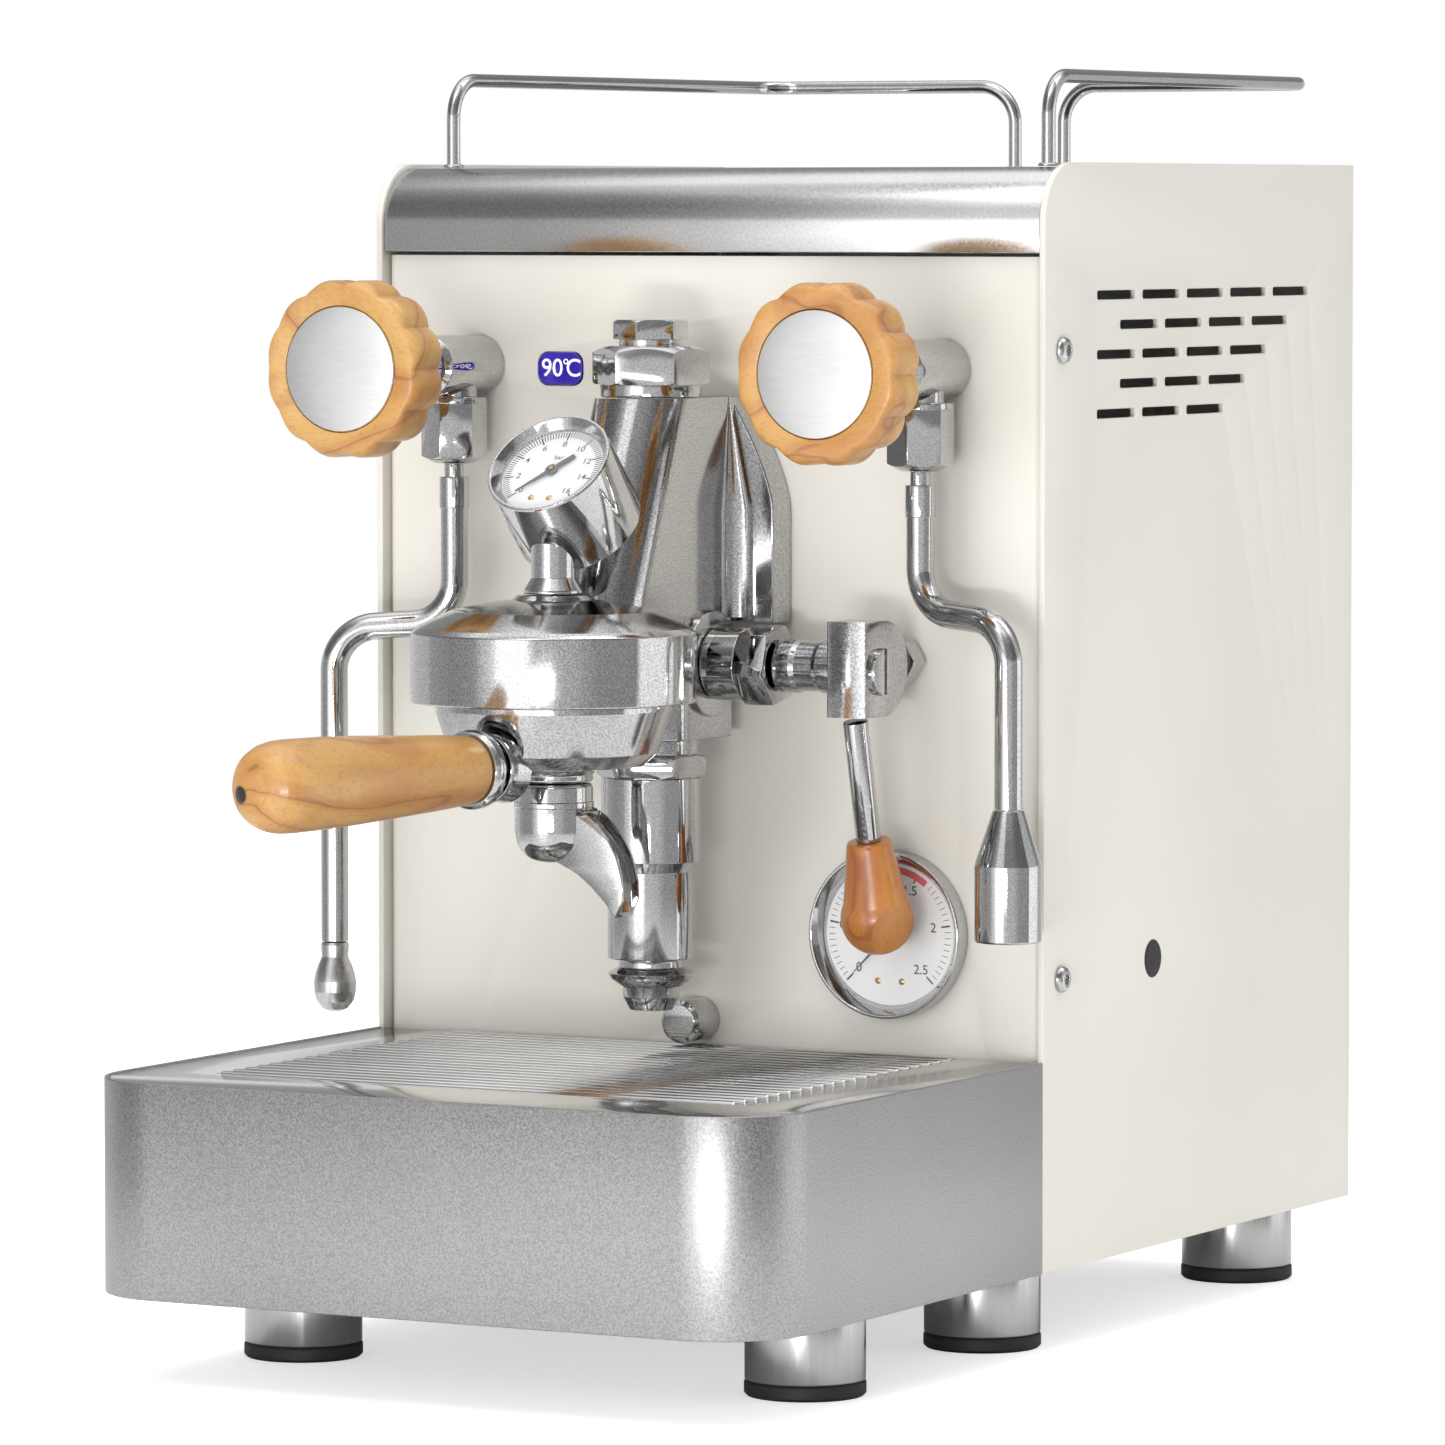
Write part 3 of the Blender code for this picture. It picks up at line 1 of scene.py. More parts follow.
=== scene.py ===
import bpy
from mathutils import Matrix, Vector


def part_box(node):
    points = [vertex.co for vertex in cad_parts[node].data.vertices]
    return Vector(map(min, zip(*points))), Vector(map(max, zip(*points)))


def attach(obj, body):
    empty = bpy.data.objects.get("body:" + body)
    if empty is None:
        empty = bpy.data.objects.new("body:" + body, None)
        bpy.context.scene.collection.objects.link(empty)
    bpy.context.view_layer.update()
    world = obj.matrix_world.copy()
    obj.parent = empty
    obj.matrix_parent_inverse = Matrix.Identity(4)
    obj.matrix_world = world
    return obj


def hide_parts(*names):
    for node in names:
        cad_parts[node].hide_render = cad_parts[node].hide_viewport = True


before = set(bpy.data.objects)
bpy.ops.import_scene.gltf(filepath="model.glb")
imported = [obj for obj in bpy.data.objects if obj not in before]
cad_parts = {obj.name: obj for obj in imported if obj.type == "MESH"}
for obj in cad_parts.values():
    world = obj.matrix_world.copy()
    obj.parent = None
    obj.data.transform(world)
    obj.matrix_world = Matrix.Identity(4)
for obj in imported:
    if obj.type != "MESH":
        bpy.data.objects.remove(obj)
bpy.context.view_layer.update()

import math

import bmesh
import bpy
from mathutils import Matrix, Vector

scene = bpy.context.scene
scene.view_settings.view_transform = "Standard"
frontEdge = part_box("side_cover_right")[0].y    # front edge of the casing, the zero of every Y below
alongX = Matrix.Rotation(math.pi / 2, 4, "Y")
alongY = Matrix.Rotation(-math.pi / 2, 4, "X")
towardsFront = Matrix.Rotation(math.pi / 2, 4, "X")
facingSide = Matrix(((0, 0, 1, 0), (1, 0, 0, 0), (0, 1, 0, 0), (0, 0, 0, 1)))   # draws in Y and Z, thick in X
pi = math.pi


def place(x, y, z):
    return Vector((x, y + frontEdge, z))


# camera, lights and floor
camera = {"at": (1.33251, -2.44687, 0.38591), "heading": (-0.4762, 0.8793), "down": 3.604, "lens": 204.0}
lights = {
    "rightBox": {"at": (2.3, 0.3, 1.3), "aim": (0.0, 0.08, 0.25), "size": (1.8, 2.0), "power": 9},
    "frontBox": {"at": (-0.5, -2.6, 0.75), "aim": (0.0, -0.05, 0.2), "size": (3.6, 1.9), "power": 20},
    "topBox": {"at": (0.0, -0.2, 2.4), "aim": (0.0, 0.05, 0.2), "size": (2.2, 2.2), "power": 12},
    "backBox": {"at": (-1.4, 2.2, 1.3), "aim": (0.0, 0.1, 0.2), "size": (1.8, 1.8), "power": 12},
    "lowStrip": {"at": (0.42, -1.25, 0.06), "aim": (0.10, -0.16, 0.06), "size": (0.34, 0.10), "power": 5},
}


def makeCamera():
    lens = bpy.data.cameras.new("camera")
    lens.lens, lens.sensor_width = camera["lens"], 36
    lens.clip_start, lens.clip_end = 0.05, 60
    holder = bpy.data.objects.new("camera", lens)
    holder.location = place(*camera["at"])
    drop = math.radians(camera["down"])
    x, y = camera["heading"]
    look = Vector((x * math.cos(drop), y * math.cos(drop), -math.sin(drop)))
    holder.rotation_euler = look.to_track_quat("-Z", "Y").to_euler()
    scene.collection.objects.link(holder)
    scene.camera = holder


def makeLights():
    for name, light in lights.items():
        lamp = bpy.data.lights.new(name, "AREA")
        lamp.shape = "RECTANGLE"
        lamp.size, lamp.size_y = light["size"]
        lamp.energy = light["power"]
        holder = bpy.data.objects.new(name, lamp)
        holder.location = place(*light["at"])
        look = place(*light["aim"]) - holder.location
        holder.rotation_euler = look.to_track_quat("-Z", "Y").to_euler()
        holder.visible_glossy = name == "lowStrip"     # the metal mirrors the dome and this strip only
        holder.visible_camera = False
        scene.collection.objects.link(holder)


# what the polished metal mirrors: greys round the room in degrees, and how they change with height
room = {"around": ((-180, 0.45), (-150, 0.34), (-128, 0.40), (-120, 0.72), (-112, 0.95), (-104, 1.90), (-84, 1.90),
                   (-76, 0.66), (-44, 0.60), (-26, 0.38), (6, 0.36), (10, 0.28), (14, 1.25), (50, 1.15), (62, 0.50),
                   (100, 0.60)),
        "rise": ((-1.0, 0.85), (-0.06, 1.0), (0.12, 1.0), (0.20, 0.46), (0.55, 0.44), (0.72, 0.75), (0.84, 1.9),
                 (1.0, 2.0)),
        "strength": 1.3}


def makeSurroundings():
    world = bpy.data.worlds.new("studio")
    scene.world = world
    world.use_nodes = True
    nodes, links = world.node_tree.nodes, world.node_tree.links
    dome = nodes["Background"]
    coord = nodes.new("ShaderNodeTexCoord")
    split = nodes.new("ShaderNodeSeparateXYZ")
    links.new(coord.outputs["Generated"], split.inputs[0])
    turn = nodes.new("ShaderNodeMath")
    turn.operation = "ARCTAN2"
    links.new(split.outputs["Y"], turn.inputs[0])
    links.new(split.outputs["X"], turn.inputs[1])

    def greys(value, low, high, stops):
        share = nodes.new("ShaderNodeMapRange")
        share.inputs["From Min"].default_value, share.inputs["From Max"].default_value = low, high
        links.new(value, share.inputs["Value"])
        ramp = nodes.new("ShaderNodeValToRGB")
        elements = ramp.color_ramp.elements
        while len(elements) < len(stops):
            elements.new(0.5)
        for element, (at, grey) in zip(elements, stops):
            element.position = at
            element.color = (grey, grey, grey, 1)
        links.new(share.outputs[0], ramp.inputs["Fac"])
        return ramp.outputs["Color"]
    around = greys(turn.outputs[0], -pi, pi, [((at + 180) / 360, grey) for at, grey in room["around"]])
    rise = greys(split.outputs["Z"], -1, 1, [((at + 1) / 2, grey) for at, grey in room["rise"]])
    shade = nodes.new("ShaderNodeMix")
    shade.data_type, shade.blend_type = "RGBA", "MULTIPLY"
    shade.inputs["Factor"].default_value = 1.0
    links.new(around, shade.inputs["A"])
    links.new(rise, shade.inputs["B"])
    links.new(shade.outputs["Result"], dome.inputs["Color"])
    dome.inputs["Strength"].default_value = room["strength"]
    backdrop = nodes.new("ShaderNodeBackground")       # plain white where nothing stands behind the machine
    backdrop.inputs["Color"].default_value = (1, 1, 1, 1)
    seen = nodes.new("ShaderNodeLightPath")
    either = nodes.new("ShaderNodeMixShader")
    links.new(seen.outputs["Is Camera Ray"], either.inputs[0])
    links.new(dome.outputs[0], either.inputs[1])
    links.new(backdrop.outputs[0], either.inputs[2])
    links.new(either.outputs[0], nodes["World Output"].inputs["Surface"])


paper = {"radius": 2.4, "colour": (0.93, 0.93, 0.925, 1), "roughness": 0.7, "fade": (0.30, 0.85), "glow": 0.55}


def makeFloor():
    # a wide pale disc that fades out at its edge
    shape = bmesh.new()
    bmesh.ops.create_circle(shape, cap_ends=True, segments=96, radius=paper["radius"])
    mesh = bpy.data.meshes.new("floor")
    shape.to_mesh(mesh)
    shape.free()
    floor = bpy.data.objects.new("floor", mesh)
    scene.collection.objects.link(floor)
    material = bpy.data.materials.new("paleFloor")
    material.use_nodes = True
    nodes, links = material.node_tree.nodes, material.node_tree.links
    paint = nodes["Principled BSDF"]
    paint.inputs["Base Color"].default_value = paper["colour"]
    paint.inputs["Roughness"].default_value = paper["roughness"]
    paint.inputs["Specular IOR Level"].default_value = 0.2
    clear = nodes.new("ShaderNodeBsdfTransparent")
    coord = nodes.new("ShaderNodeTexCoord")
    far = nodes.new("ShaderNodeVectorMath")
    far.operation = "LENGTH"
    links.new(coord.outputs["Object"], far.inputs[0])
    fade = nodes.new("ShaderNodeMapRange")
    fade.interpolation_type = "SMOOTHSTEP"
    fade.inputs["From Min"].default_value, fade.inputs["From Max"].default_value = paper["fade"]
    links.new(far.outputs["Value"], fade.inputs["Value"])
    either = nodes.new("ShaderNodeMixShader")
    links.new(fade.outputs[0], either.inputs[0])
    links.new(paint.outputs[0], either.inputs[1])
    links.new(clear.outputs[0], either.inputs[2])
    # the lamps leave only a light shadow on the paper, and the machine isn't lit from it
    glow = nodes.new("ShaderNodeEmission")
    glow.inputs["Color"].default_value = (*[paper["glow"]] * 3, 1)
    both = nodes.new("ShaderNodeAddShader")
    links.new(either.outputs[0], both.inputs[0])
    links.new(glow.outputs[0], both.inputs[1])
    seen = nodes.new("ShaderNodeLightPath")
    links.new(seen.outputs["Is Camera Ray"], glow.inputs["Strength"])
    links.new(both.outputs[0], nodes["Material Output"].inputs["Surface"])
    mesh.materials.append(material)


makeCamera()
makeLights()
makeSurroundings()
makeFloor()
print("camera, lights and floor are set")


# finishes
def newFinish(name, colour, roughness, metal=0.0, **settings):
    material = bpy.data.materials.new(name)
    material.use_nodes = True
    shader = material.node_tree.nodes["Principled BSDF"]
    shader.inputs["Base Color"].default_value = (*colour, 1)
    shader.inputs["Roughness"].default_value = roughness
    shader.inputs["Metallic"].default_value = metal
    for socket, value in settings.items():
        shader.inputs[socket.replace("_", " ")].default_value = value
    return material


def grain(material, scale, stretch=(1, 1, 1), detail=4.0):
    # noise in the piece's own coordinates, in metres
    nodes, links = material.node_tree.nodes, material.node_tree.links
    coord = nodes.new("ShaderNodeTexCoord")
    mapping = nodes.new("ShaderNodeMapping")
    mapping.inputs["Scale"].default_value = stretch
    links.new(coord.outputs["Object"], mapping.inputs["Vector"])
    noise = nodes.new("ShaderNodeTexNoise")
    noise.inputs["Scale"].default_value = scale
    noise.inputs["Detail"].default_value = detail
    links.new(mapping.outputs[0], noise.inputs["Vector"])
    return noise.outputs["Fac"]


def shades(material, fac, stops):
    nodes, links = material.node_tree.nodes, material.node_tree.links
    ramp = nodes.new("ShaderNodeValToRGB")
    while len(ramp.color_ramp.elements) < len(stops):
        ramp.color_ramp.elements.new(0.5)
    for element, (at, colour) in zip(ramp.color_ramp.elements, stops):
        element.position = at
        element.color = (*colour, 1)
    links.new(fac, ramp.inputs["Fac"])
    return ramp.outputs["Color"]


def spread(material, fac, low, high, fromLow=0.3, fromHigh=0.7):
    nodes, links = material.node_tree.nodes, material.node_tree.links
    scaled = nodes.new("ShaderNodeMapRange")
    scaled.inputs["From Min"].default_value, scaled.inputs["From Max"].default_value = fromLow, fromHigh
    scaled.inputs["To Min"].default_value, scaled.inputs["To Max"].default_value = low, high
    links.new(fac, scaled.inputs["Value"])
    return scaled.outputs[0]


def blended(material, fac, first, second):
    nodes, links = material.node_tree.nodes, material.node_tree.links
    mix = nodes.new("ShaderNodeMix")
    mix.data_type = "RGBA"
    for socket, value in (("Factor", fac), ("A", first), ("B", second)):
        if isinstance(value, (float, tuple)):
            mix.inputs[socket].default_value = value
        else:
            links.new(value, mix.inputs[socket])
    return mix.outputs["Result"]


def wire(material, colour=None, roughness=None, relief=None, strength=0.1, depth=0.0002):
    nodes, links = material.node_tree.nodes, material.node_tree.links
    shader = nodes["Principled BSDF"]
    if colour is not None:
        links.new(colour, shader.inputs["Base Color"])
    if roughness is not None:
        links.new(roughness, shader.inputs["Roughness"])
    if relief is not None:
        bump = nodes.new("ShaderNodeBump")
        bump.inputs["Strength"].default_value = strength
        bump.inputs["Distance"].default_value = depth
        links.new(relief, bump.inputs["Height"])
        links.new(bump.outputs[0], shader.inputs["Normal"])
    return material


def makePaint():
    # cream powder coat: a faint warm drift, an eggshell sheen and very fine orange peel
    paint = newFinish("creamPaint", (0.71, 0.69, 0.63), 0.38, Coat_Weight=0.12, Coat_Roughness=0.25)
    drift = grain(paint, 9, detail=2)
    colour = shades(paint, drift, ((0.3, (0.69, 0.665, 0.605)), (0.7, (0.735, 0.712, 0.657))))
    peel = grain(paint, 1400, detail=2)
    return wire(paint, colour, spread(paint, drift, 0.34, 0.44), peel, 0.06, 0.0001)


def makeBrushed(name, stretch, dark=0.50, light=0.62, rough=(0.24, 0.36), relief=0.10):
    # long fine lines left by a belt, with slow cloudy changes over them
    metal = newFinish(name, (0.6, 0.6, 0.6), 0.3, 1.0)
    lines = grain(metal, 900, stretch, detail=5)
    cloud = grain(metal, 22, detail=2)
    base = shades(metal, lines, ((0.3, (dark, dark, dark * 0.995)), (0.7, (light, light, light * 0.995))))
    colour = blended(metal, 0.25, base, shades(metal, cloud, ((0.3, (0.45,) * 3), (0.7, (0.72,) * 3))))
    return wire(metal, colour, spread(metal, lines, *rough), lines, relief, 0.00012)


def makeBlasted():
    # bead-blasted sheet: a tight even sparkle
    metal = newFinish("blastedSteel", (0.5, 0.5, 0.5), 0.4, 1.0)
    speck = grain(metal, 1500, detail=3)
    cloud = grain(metal, 12, detail=3)
    base = shades(metal, speck, ((0.33, (0.27, 0.27, 0.27)), (0.5, (0.39, 0.39, 0.39)), (0.67, (0.52, 0.52, 0.52))))
    colour = blended(metal, 0.3, base, shades(metal, cloud, ((0.3, (0.34,) * 3), (0.7, (0.45,) * 3))))
    return wire(metal, colour, spread(metal, speck, 0.34, 0.46), speck, 0.16, 0.0001)


def makeChrome(name, tone=0.52, rough=(0.035, 0.09), speckle=0.18):
    # polished plate over a casting: clear, with a light tight grain and faint wiping marks
    metal = newFinish(name, (tone, tone, tone), 0.06, 1.0)
    speck = grain(metal, 1700, detail=2)
    smear = grain(metal, 60, (1, 1, 0.4), detail=4)
    low, high = tone * (1 - speckle), tone * (1 + speckle * 0.6)
    colour = shades(metal, speck, ((0.36, (low, low, low * 1.01)), (0.64, (high, high, high * 1.005))))
    return wire(metal, colour, spread(metal, smear, *rough), speck, 0.025, 0.00005)


def makeWood(name, along, shift=(0, 0, 0), tone=(1, 1, 1), knot=None):
    # oiled olive wood: honey ground, broad brown figure, thin dark veins and short pores, all along one way
    wood = newFinish(name, (0.62, 0.35, 0.12), 0.36, Coat_Weight=0.25, Coat_Roughness=0.18)
    nodes, links = wood.node_tree.nodes, wood.node_tree.links
    coord = nodes.new("ShaderNodeTexCoord")
    mapping = nodes.new("ShaderNodeMapping")
    mapping.inputs["Location"].default_value = shift
    mapping.inputs["Scale"].default_value = along
    links.new(coord.outputs["Object"], mapping.inputs["Vector"])

    def noise(scale, detail, twist):
        made = nodes.new("ShaderNodeTexNoise")
        made.inputs["Scale"].default_value = scale
        made.inputs["Detail"].default_value = detail
        made.inputs["Distortion"].default_value = twist
        links.new(mapping.outputs[0], made.inputs["Vector"])
        return made.outputs["Fac"]

    def tint(red, green, blue):
        return red * tone[0], green * tone[1], blue * tone[2]
    figure = noise(17, 3, 0.9)
    steps = nodes.new("ShaderNodeMath")
    steps.operation = "MULTIPLY"
    steps.inputs[1].default_value = 34.0
    waves = nodes.new("ShaderNodeMath")
    waves.operation = "SINE"
    links.new(figure, steps.inputs[0])
    links.new(steps.outputs[0], waves.inputs[0])
    honey = shades(wood, noise(34, 4, 0.7), ((0.30, tint(0.56, 0.265, 0.072)), (0.48, tint(0.68, 0.375, 0.110)),
                                             (0.62, tint(0.74, 0.455, 0.150)), (0.75, tint(0.64, 0.33, 0.095))))
    banded = blended(wood, spread(wood, waves.outputs[0], 0.0, 0.55, -0.3, 0.9), honey, (*tint(0.55, 0.245, 0.080), 1))
    vein = spread(wood, waves.outputs[0], 0.0, 0.55, 0.955, 1.0)
    veined = blended(wood, vein, banded, (*tint(0.30, 0.105, 0.040), 1))
    patch = spread(wood, noise(11, 2, 1.6), 0.0, 0.72, 0.55, 0.68)
    patched = blended(wood, patch, veined, (*tint(0.36, 0.150, 0.075), 1))
    pores = noise(900, 2, 0.2)
    colour = blended(wood, spread(wood, pores, 0.22, 0.0, 0.36, 0.46), patched, (*tint(0.34, 0.14, 0.05), 1))
    if knot:
        near = nodes.new("ShaderNodeVectorMath")
        near.operation = "DISTANCE"
        near.inputs[1].default_value = knot[0]
        links.new(coord.outputs["Object"], near.inputs[0])
        colour = blended(wood, spread(wood, near.outputs["Value"], 1.0, 0.0, knot[1] * 0.75, knot[1]), colour,
                         (0.02, 0.013, 0.010, 1))
    return wire(wood, colour, spread(wood, figure, 0.30, 0.44), pores, 0.06, 0.0001)


def makeGlass(name, colour, alpha, rough):
    glass = newFinish(name, colour, rough, Alpha=alpha, Coat_Weight=0.5, IOR=1.45)
    return wire(glass, roughness=spread(glass, grain(glass, 200, detail=2), rough, rough + 0.03))


def makePlain(name, colour, rough, scale, strength, metal=0.0, shift=0.12, **settings):
    # moulded or cast finish with a light all-over grain
    plain = newFinish(name, colour, rough, metal, **settings)
    speck = grain(plain, scale, detail=4)
    low, high = [tuple(c * k for c in colour) for k in (1 - shift, 1 + shift)]
    tint = shades(plain, speck, ((0.3, low), (0.7, high)))
    return wire(plain, tint, spread(plain, speck, rough * 0.85, rough * 1.15), speck, strength, 0.0002)


creamPaint = makePaint()
visorSteel = makeBrushed("visorSteel", (0.012, 1, 1), 0.50, 0.60, (0.15, 0.24), 0.05)
discSteel = makeBrushed("discSteel", (0.2, 1, 1), 0.90, 0.95, (0.15, 0.19), 0.01)
traySteel = makeBlasted()
polishedSteel = makeBrushed("polishedSteel", (0.02, 1, 1), 0.58, 0.66, (0.09, 0.16), 0.03)
satinSteel = makeBrushed("satinSteel", (1, 1, 0.03), 0.48, 0.56, (0.22, 0.32), 0.05)
footSteel = makeBrushed("footSteel", (1, 1, 0.04), 0.34, 0.42, (0.16, 0.24), 0.04)
chromePlate = makeChrome("chromePlate")
castChrome = makeChrome("castChrome", 0.49, (0.07, 0.15), 0.30)
handleWood = makeWood("handleWood", (1, 0.42, 1), (0.03, 0.05, 0.01), (0.72, 0.67, 0.64),
                      (place(-0.0262, -0.2560, 0.2010), 0.0034))
steamKnobWood = makeWood("steamKnobWood", (0.45, 1, 1), (0.11, 0, 0.02), (0.80, 0.76, 0.74))
waterKnobWood = makeWood("waterKnobWood", (0.45, 1, 1), (0.27, 0.04, 0.09), (0.80, 0.76, 0.74))
leverWood = makeWood("leverWood", (1, 1, 0.35), (0.31, 0.07, 0.02), (0.72, 0.50, 0.36))
blackRubber = makePlain("blackRubber", (0.012, 0.012, 0.012), 0.62, 1200, 0.15)
darkPlastic = makePlain("darkPlastic", (0.02, 0.02, 0.021), 0.48, 900, 0.12)
needleGrey = makePlain("needleGrey", (0.06, 0.06, 0.065), 0.42, 700, 0.04)
dialWhite = makePlain("dialWhite", (0.80, 0.80, 0.80), 0.55, 1500, 0.03, shift=0.015)
pumpWhite = makePlain("pumpDialGrey", (0.66, 0.66, 0.67), 0.5, 1500, 0.03, shift=0.015)
dialInk = makePlain("dialInk", (0.03, 0.03, 0.032), 0.55, 1500, 0.03)
dialRed = makePlain("dialRed", (0.68, 0.03, 0.035), 0.5, 1500, 0.03, shift=0.05)
brass = makePlain("screwBrass", (0.62, 0.36, 0.13), 0.28, 900, 0.05, 1.0)
copper = makePlain("copperShell", (0.62, 0.27, 0.15), 0.32, 90, 0.05, 1.0, 0.2)
displayBlue = makePlain("displayBlue", (0.028, 0.010, 0.42), 0.22, 1200, 0.01, shift=0.04, Coat_Weight=0.6)
displayLit = newFinish("displayLit", (0.9, 0.93, 1.0), 0.4, Emission_Color=(0.92, 0.95, 1, 1), Emission_Strength=0.25)
gaugeGlass = makeGlass("gaugeGlass", (0.95, 0.97, 0.97), 0.05, 0.02)
clearTank = makeGlass("clearTank", (0.82, 0.88, 0.90), 0.28, 0.12)
print("finishes are made")


# shapes
def link(name, mesh, finish, matrix=None):
    piece = bpy.data.objects.new(name, mesh)
    piece.matrix_world = matrix or Matrix.Identity(4)
    scene.collection.objects.link(piece)
    mesh.materials.clear()
    mesh.materials.append(finish)
    return piece


def arc(centre, radius, first, last, steps):
    turns = (math.radians(first + (last - first) * i / steps) for i in range(steps + 1))
    return [(centre[0] + radius * math.cos(t), centre[1] + radius * math.sin(t)) for t in turns]


def roundedBox(centre, size, radius, steps=8):
    halfX, halfY = size[0] / 2 - radius, size[1] / 2 - radius
    points = []
    for i, (sx, sy) in enumerate(((1, 1), (-1, 1), (-1, -1), (1, -1))):
        points += arc((centre[0] + sx * halfX, centre[1] + sy * halfY), radius, 90 * i, 90 * i + 90, steps)
    return points


def softened(points, radius, steps=3):
    # rounds every inner corner of an open profile, by no more than its neighbours leave room for
    points = [Vector(p) for p in points]
    soft = [points[0]]
    for before, corner, after in zip(points, points[1:], points[2:]):
        back, on = before - corner, after - corner
        if back.length < 1e-6 or on.length < 1e-6:
            continue
        angle = back.angle(on)
        if angle > 3.0:
            soft.append(corner)
            continue
        reach = min(radius / math.tan(angle / 2), back.length * 0.45, on.length * 0.45)
        first, last = corner + back.normalized() * reach, corner + on.normalized() * reach
        for i in range(steps + 1):
            t = i / steps
            soft.append(first.lerp(corner, t).lerp(corner.lerp(last, t), t))
    return soft + [points[-1]]


def turnedMesh(profile, steps=96, soft=0.0005):
    # spins a profile of (radius, height), listed from its top down the outside
    if soft:
        profile = softened(profile, soft)
    shape = bmesh.new()
    rings = []
    for radius, height in profile:
        if radius < 1e-6:
            rings.append([shape.verts.new((0, 0, height))])
        else:
            rings.append([shape.verts.new((radius * math.cos(2 * pi * i / steps),
                                           radius * math.sin(2 * pi * i / steps), height)) for i in range(steps)])
    for first, second in zip(rings, rings[1:]):
        for i in range(steps):
            j = (i + 1) % steps
            if len(first) == 1 and len(second) == 1:
                break
            if len(first) == 1:
                shape.faces.new((first[0], second[i], second[j]))
            elif len(second) == 1:
                shape.faces.new((first[j], first[i], second[0]))
            else:
                shape.faces.new((first[j], first[i], second[i], second[j]))
    return asMesh(shape)


def asMesh(shape, creased=42):
    bmesh.ops.recalc_face_normals(shape, faces=shape.faces)
    mesh = bpy.data.meshes.new("shape")
    shape.to_mesh(mesh)
    shape.free()
    mesh.shade_smooth()
    mesh.set_sharp_from_angle(angle=math.radians(creased))
    return mesh


def joined(parts, creased=42):
    # one mesh from (mesh, matrix) pairs
    shape = bmesh.new()
    for mesh, matrix in parts:
        part = bmesh.new()
        part.from_mesh(mesh)
        bmesh.ops.transform(part, matrix=matrix, verts=part.verts)
        moved = bpy.data.meshes.new("moved")
        part.to_mesh(moved)
        part.free()
        shape.from_mesh(moved)
        bpy.data.meshes.remove(moved)
    mesh = bpy.data.meshes.new("joined")
    shape.to_mesh(mesh)
    shape.free()
    mesh.shade_smooth()
    mesh.set_sharp_from_angle(angle=math.radians(creased))
    return mesh


def bakedMesh(piece):
    # the piece's mesh with its modifiers applied; the piece itself is thrown away
    bpy.context.view_layer.update()
    graph = bpy.context.evaluated_depsgraph_get()
    mesh = bpy.data.meshes.new_from_object(piece.evaluated_get(graph))
    bpy.data.objects.remove(piece)
    return mesh


def loose(data):
    piece = bpy.data.objects.new("loose", data)
    scene.collection.objects.link(piece)
    return piece


def sheetMesh(outlines, start, end, edge=0.0003):
    # a flat outline with holes, thick from start to end, its edges eased by edge
    curve = bpy.data.curves.new("sheet", "CURVE")
    curve.dimensions, curve.fill_mode = "2D", "BOTH"
    curve.extrude = (end - start) / 2 - edge
    curve.bevel_depth, curve.bevel_resolution = edge, 2
    curve.offset = -edge
    for outline in outlines:
        spline = curve.splines.new("POLY")
        spline.points.add(len(outline) - 1)
        for point, (x, y) in zip(spline.points, outline):
            point.co = (x, y, 0, 1)
        spline.use_cyclic_u = True
    mesh = bakedMesh(loose(curve))
    shape = bmesh.new()
    shape.from_mesh(mesh)
    bmesh.ops.remove_doubles(shape, verts=shape.verts, dist=0.000005)
    bmesh.ops.translate(shape, verts=shape.verts, vec=(0, 0, (start + end) / 2))
    return asMesh(shape, 35)


def foldedMesh(path, start, end, thick, side, edge=0.0003):
    # a bent sheet along an open path, drawn in X and Y and reaching from start to end in Z
    shape = bmesh.new()
    rows = [[shape.verts.new((x, y, z)) for x, y in path] for z in (start, end)]
    for i in range(len(path) - 1):
        shape.faces.new((rows[0][i], rows[0][i + 1], rows[1][i + 1], rows[1][i]))
    mesh = bpy.data.meshes.new("fold")
    shape.to_mesh(mesh)
    shape.free()
    piece = loose(mesh)
    shell = piece.modifiers.new("thickness", "SOLIDIFY")
    shell.thickness, shell.offset, shell.use_even_offset = thick, side, True
    ease = piece.modifiers.new("eased edges", "BEVEL")
    ease.width, ease.segments, ease.angle_limit = edge, 2, math.radians(50)
    mesh = bakedMesh(piece)
    mesh.shade_smooth()
    mesh.set_sharp_from_angle(angle=math.radians(50))
    return mesh


def nutMesh(radius, low, high, crown=None, foot=None, spin=0.0, ease=0.0003):
    # a hexagon whose ends are turned down to the crown and foot radii, as a real nut's are
    shape = bmesh.new()
    bmesh.ops.create_cone(shape, cap_ends=True, segments=6, radius1=radius, radius2=radius, depth=high - low,
                          matrix=Matrix.Translation((0, 0, (low + high) / 2)) @ Matrix.Rotation(spin, 4, "Z"))
    mesh = bpy.data.meshes.new("nut")
    shape.to_mesh(mesh)
    shape.free()
    body = loose(mesh)
    crown, foot = crown or radius * 0.93, foot or radius * 0.93
    slope = math.tan(math.radians(30))
    wide = radius * 1.02
    turned = loose(turnedMesh([(0, high + 1e-5), (crown, high + 1e-5), (wide, high - (wide - crown) * slope),
                               (wide, low + (wide - foot) * slope), (foot, low - 1e-5), (0, low - 1e-5)], 72, 0))
    meet = body.modifiers.new("turned ends", "BOOLEAN")
    meet.operation, meet.solver, meet.object = "INTERSECT", "EXACT", turned
    bevel = body.modifiers.new("eased edges", "BEVEL")
    bevel.width, bevel.segments, bevel.angle_limit = ease, 2, math.radians(25)
    mesh = bakedMesh(body)
    bpy.data.objects.remove(turned)
    mesh.shade_smooth()
    mesh.set_sharp_from_angle(angle=math.radians(26))
    return mesh


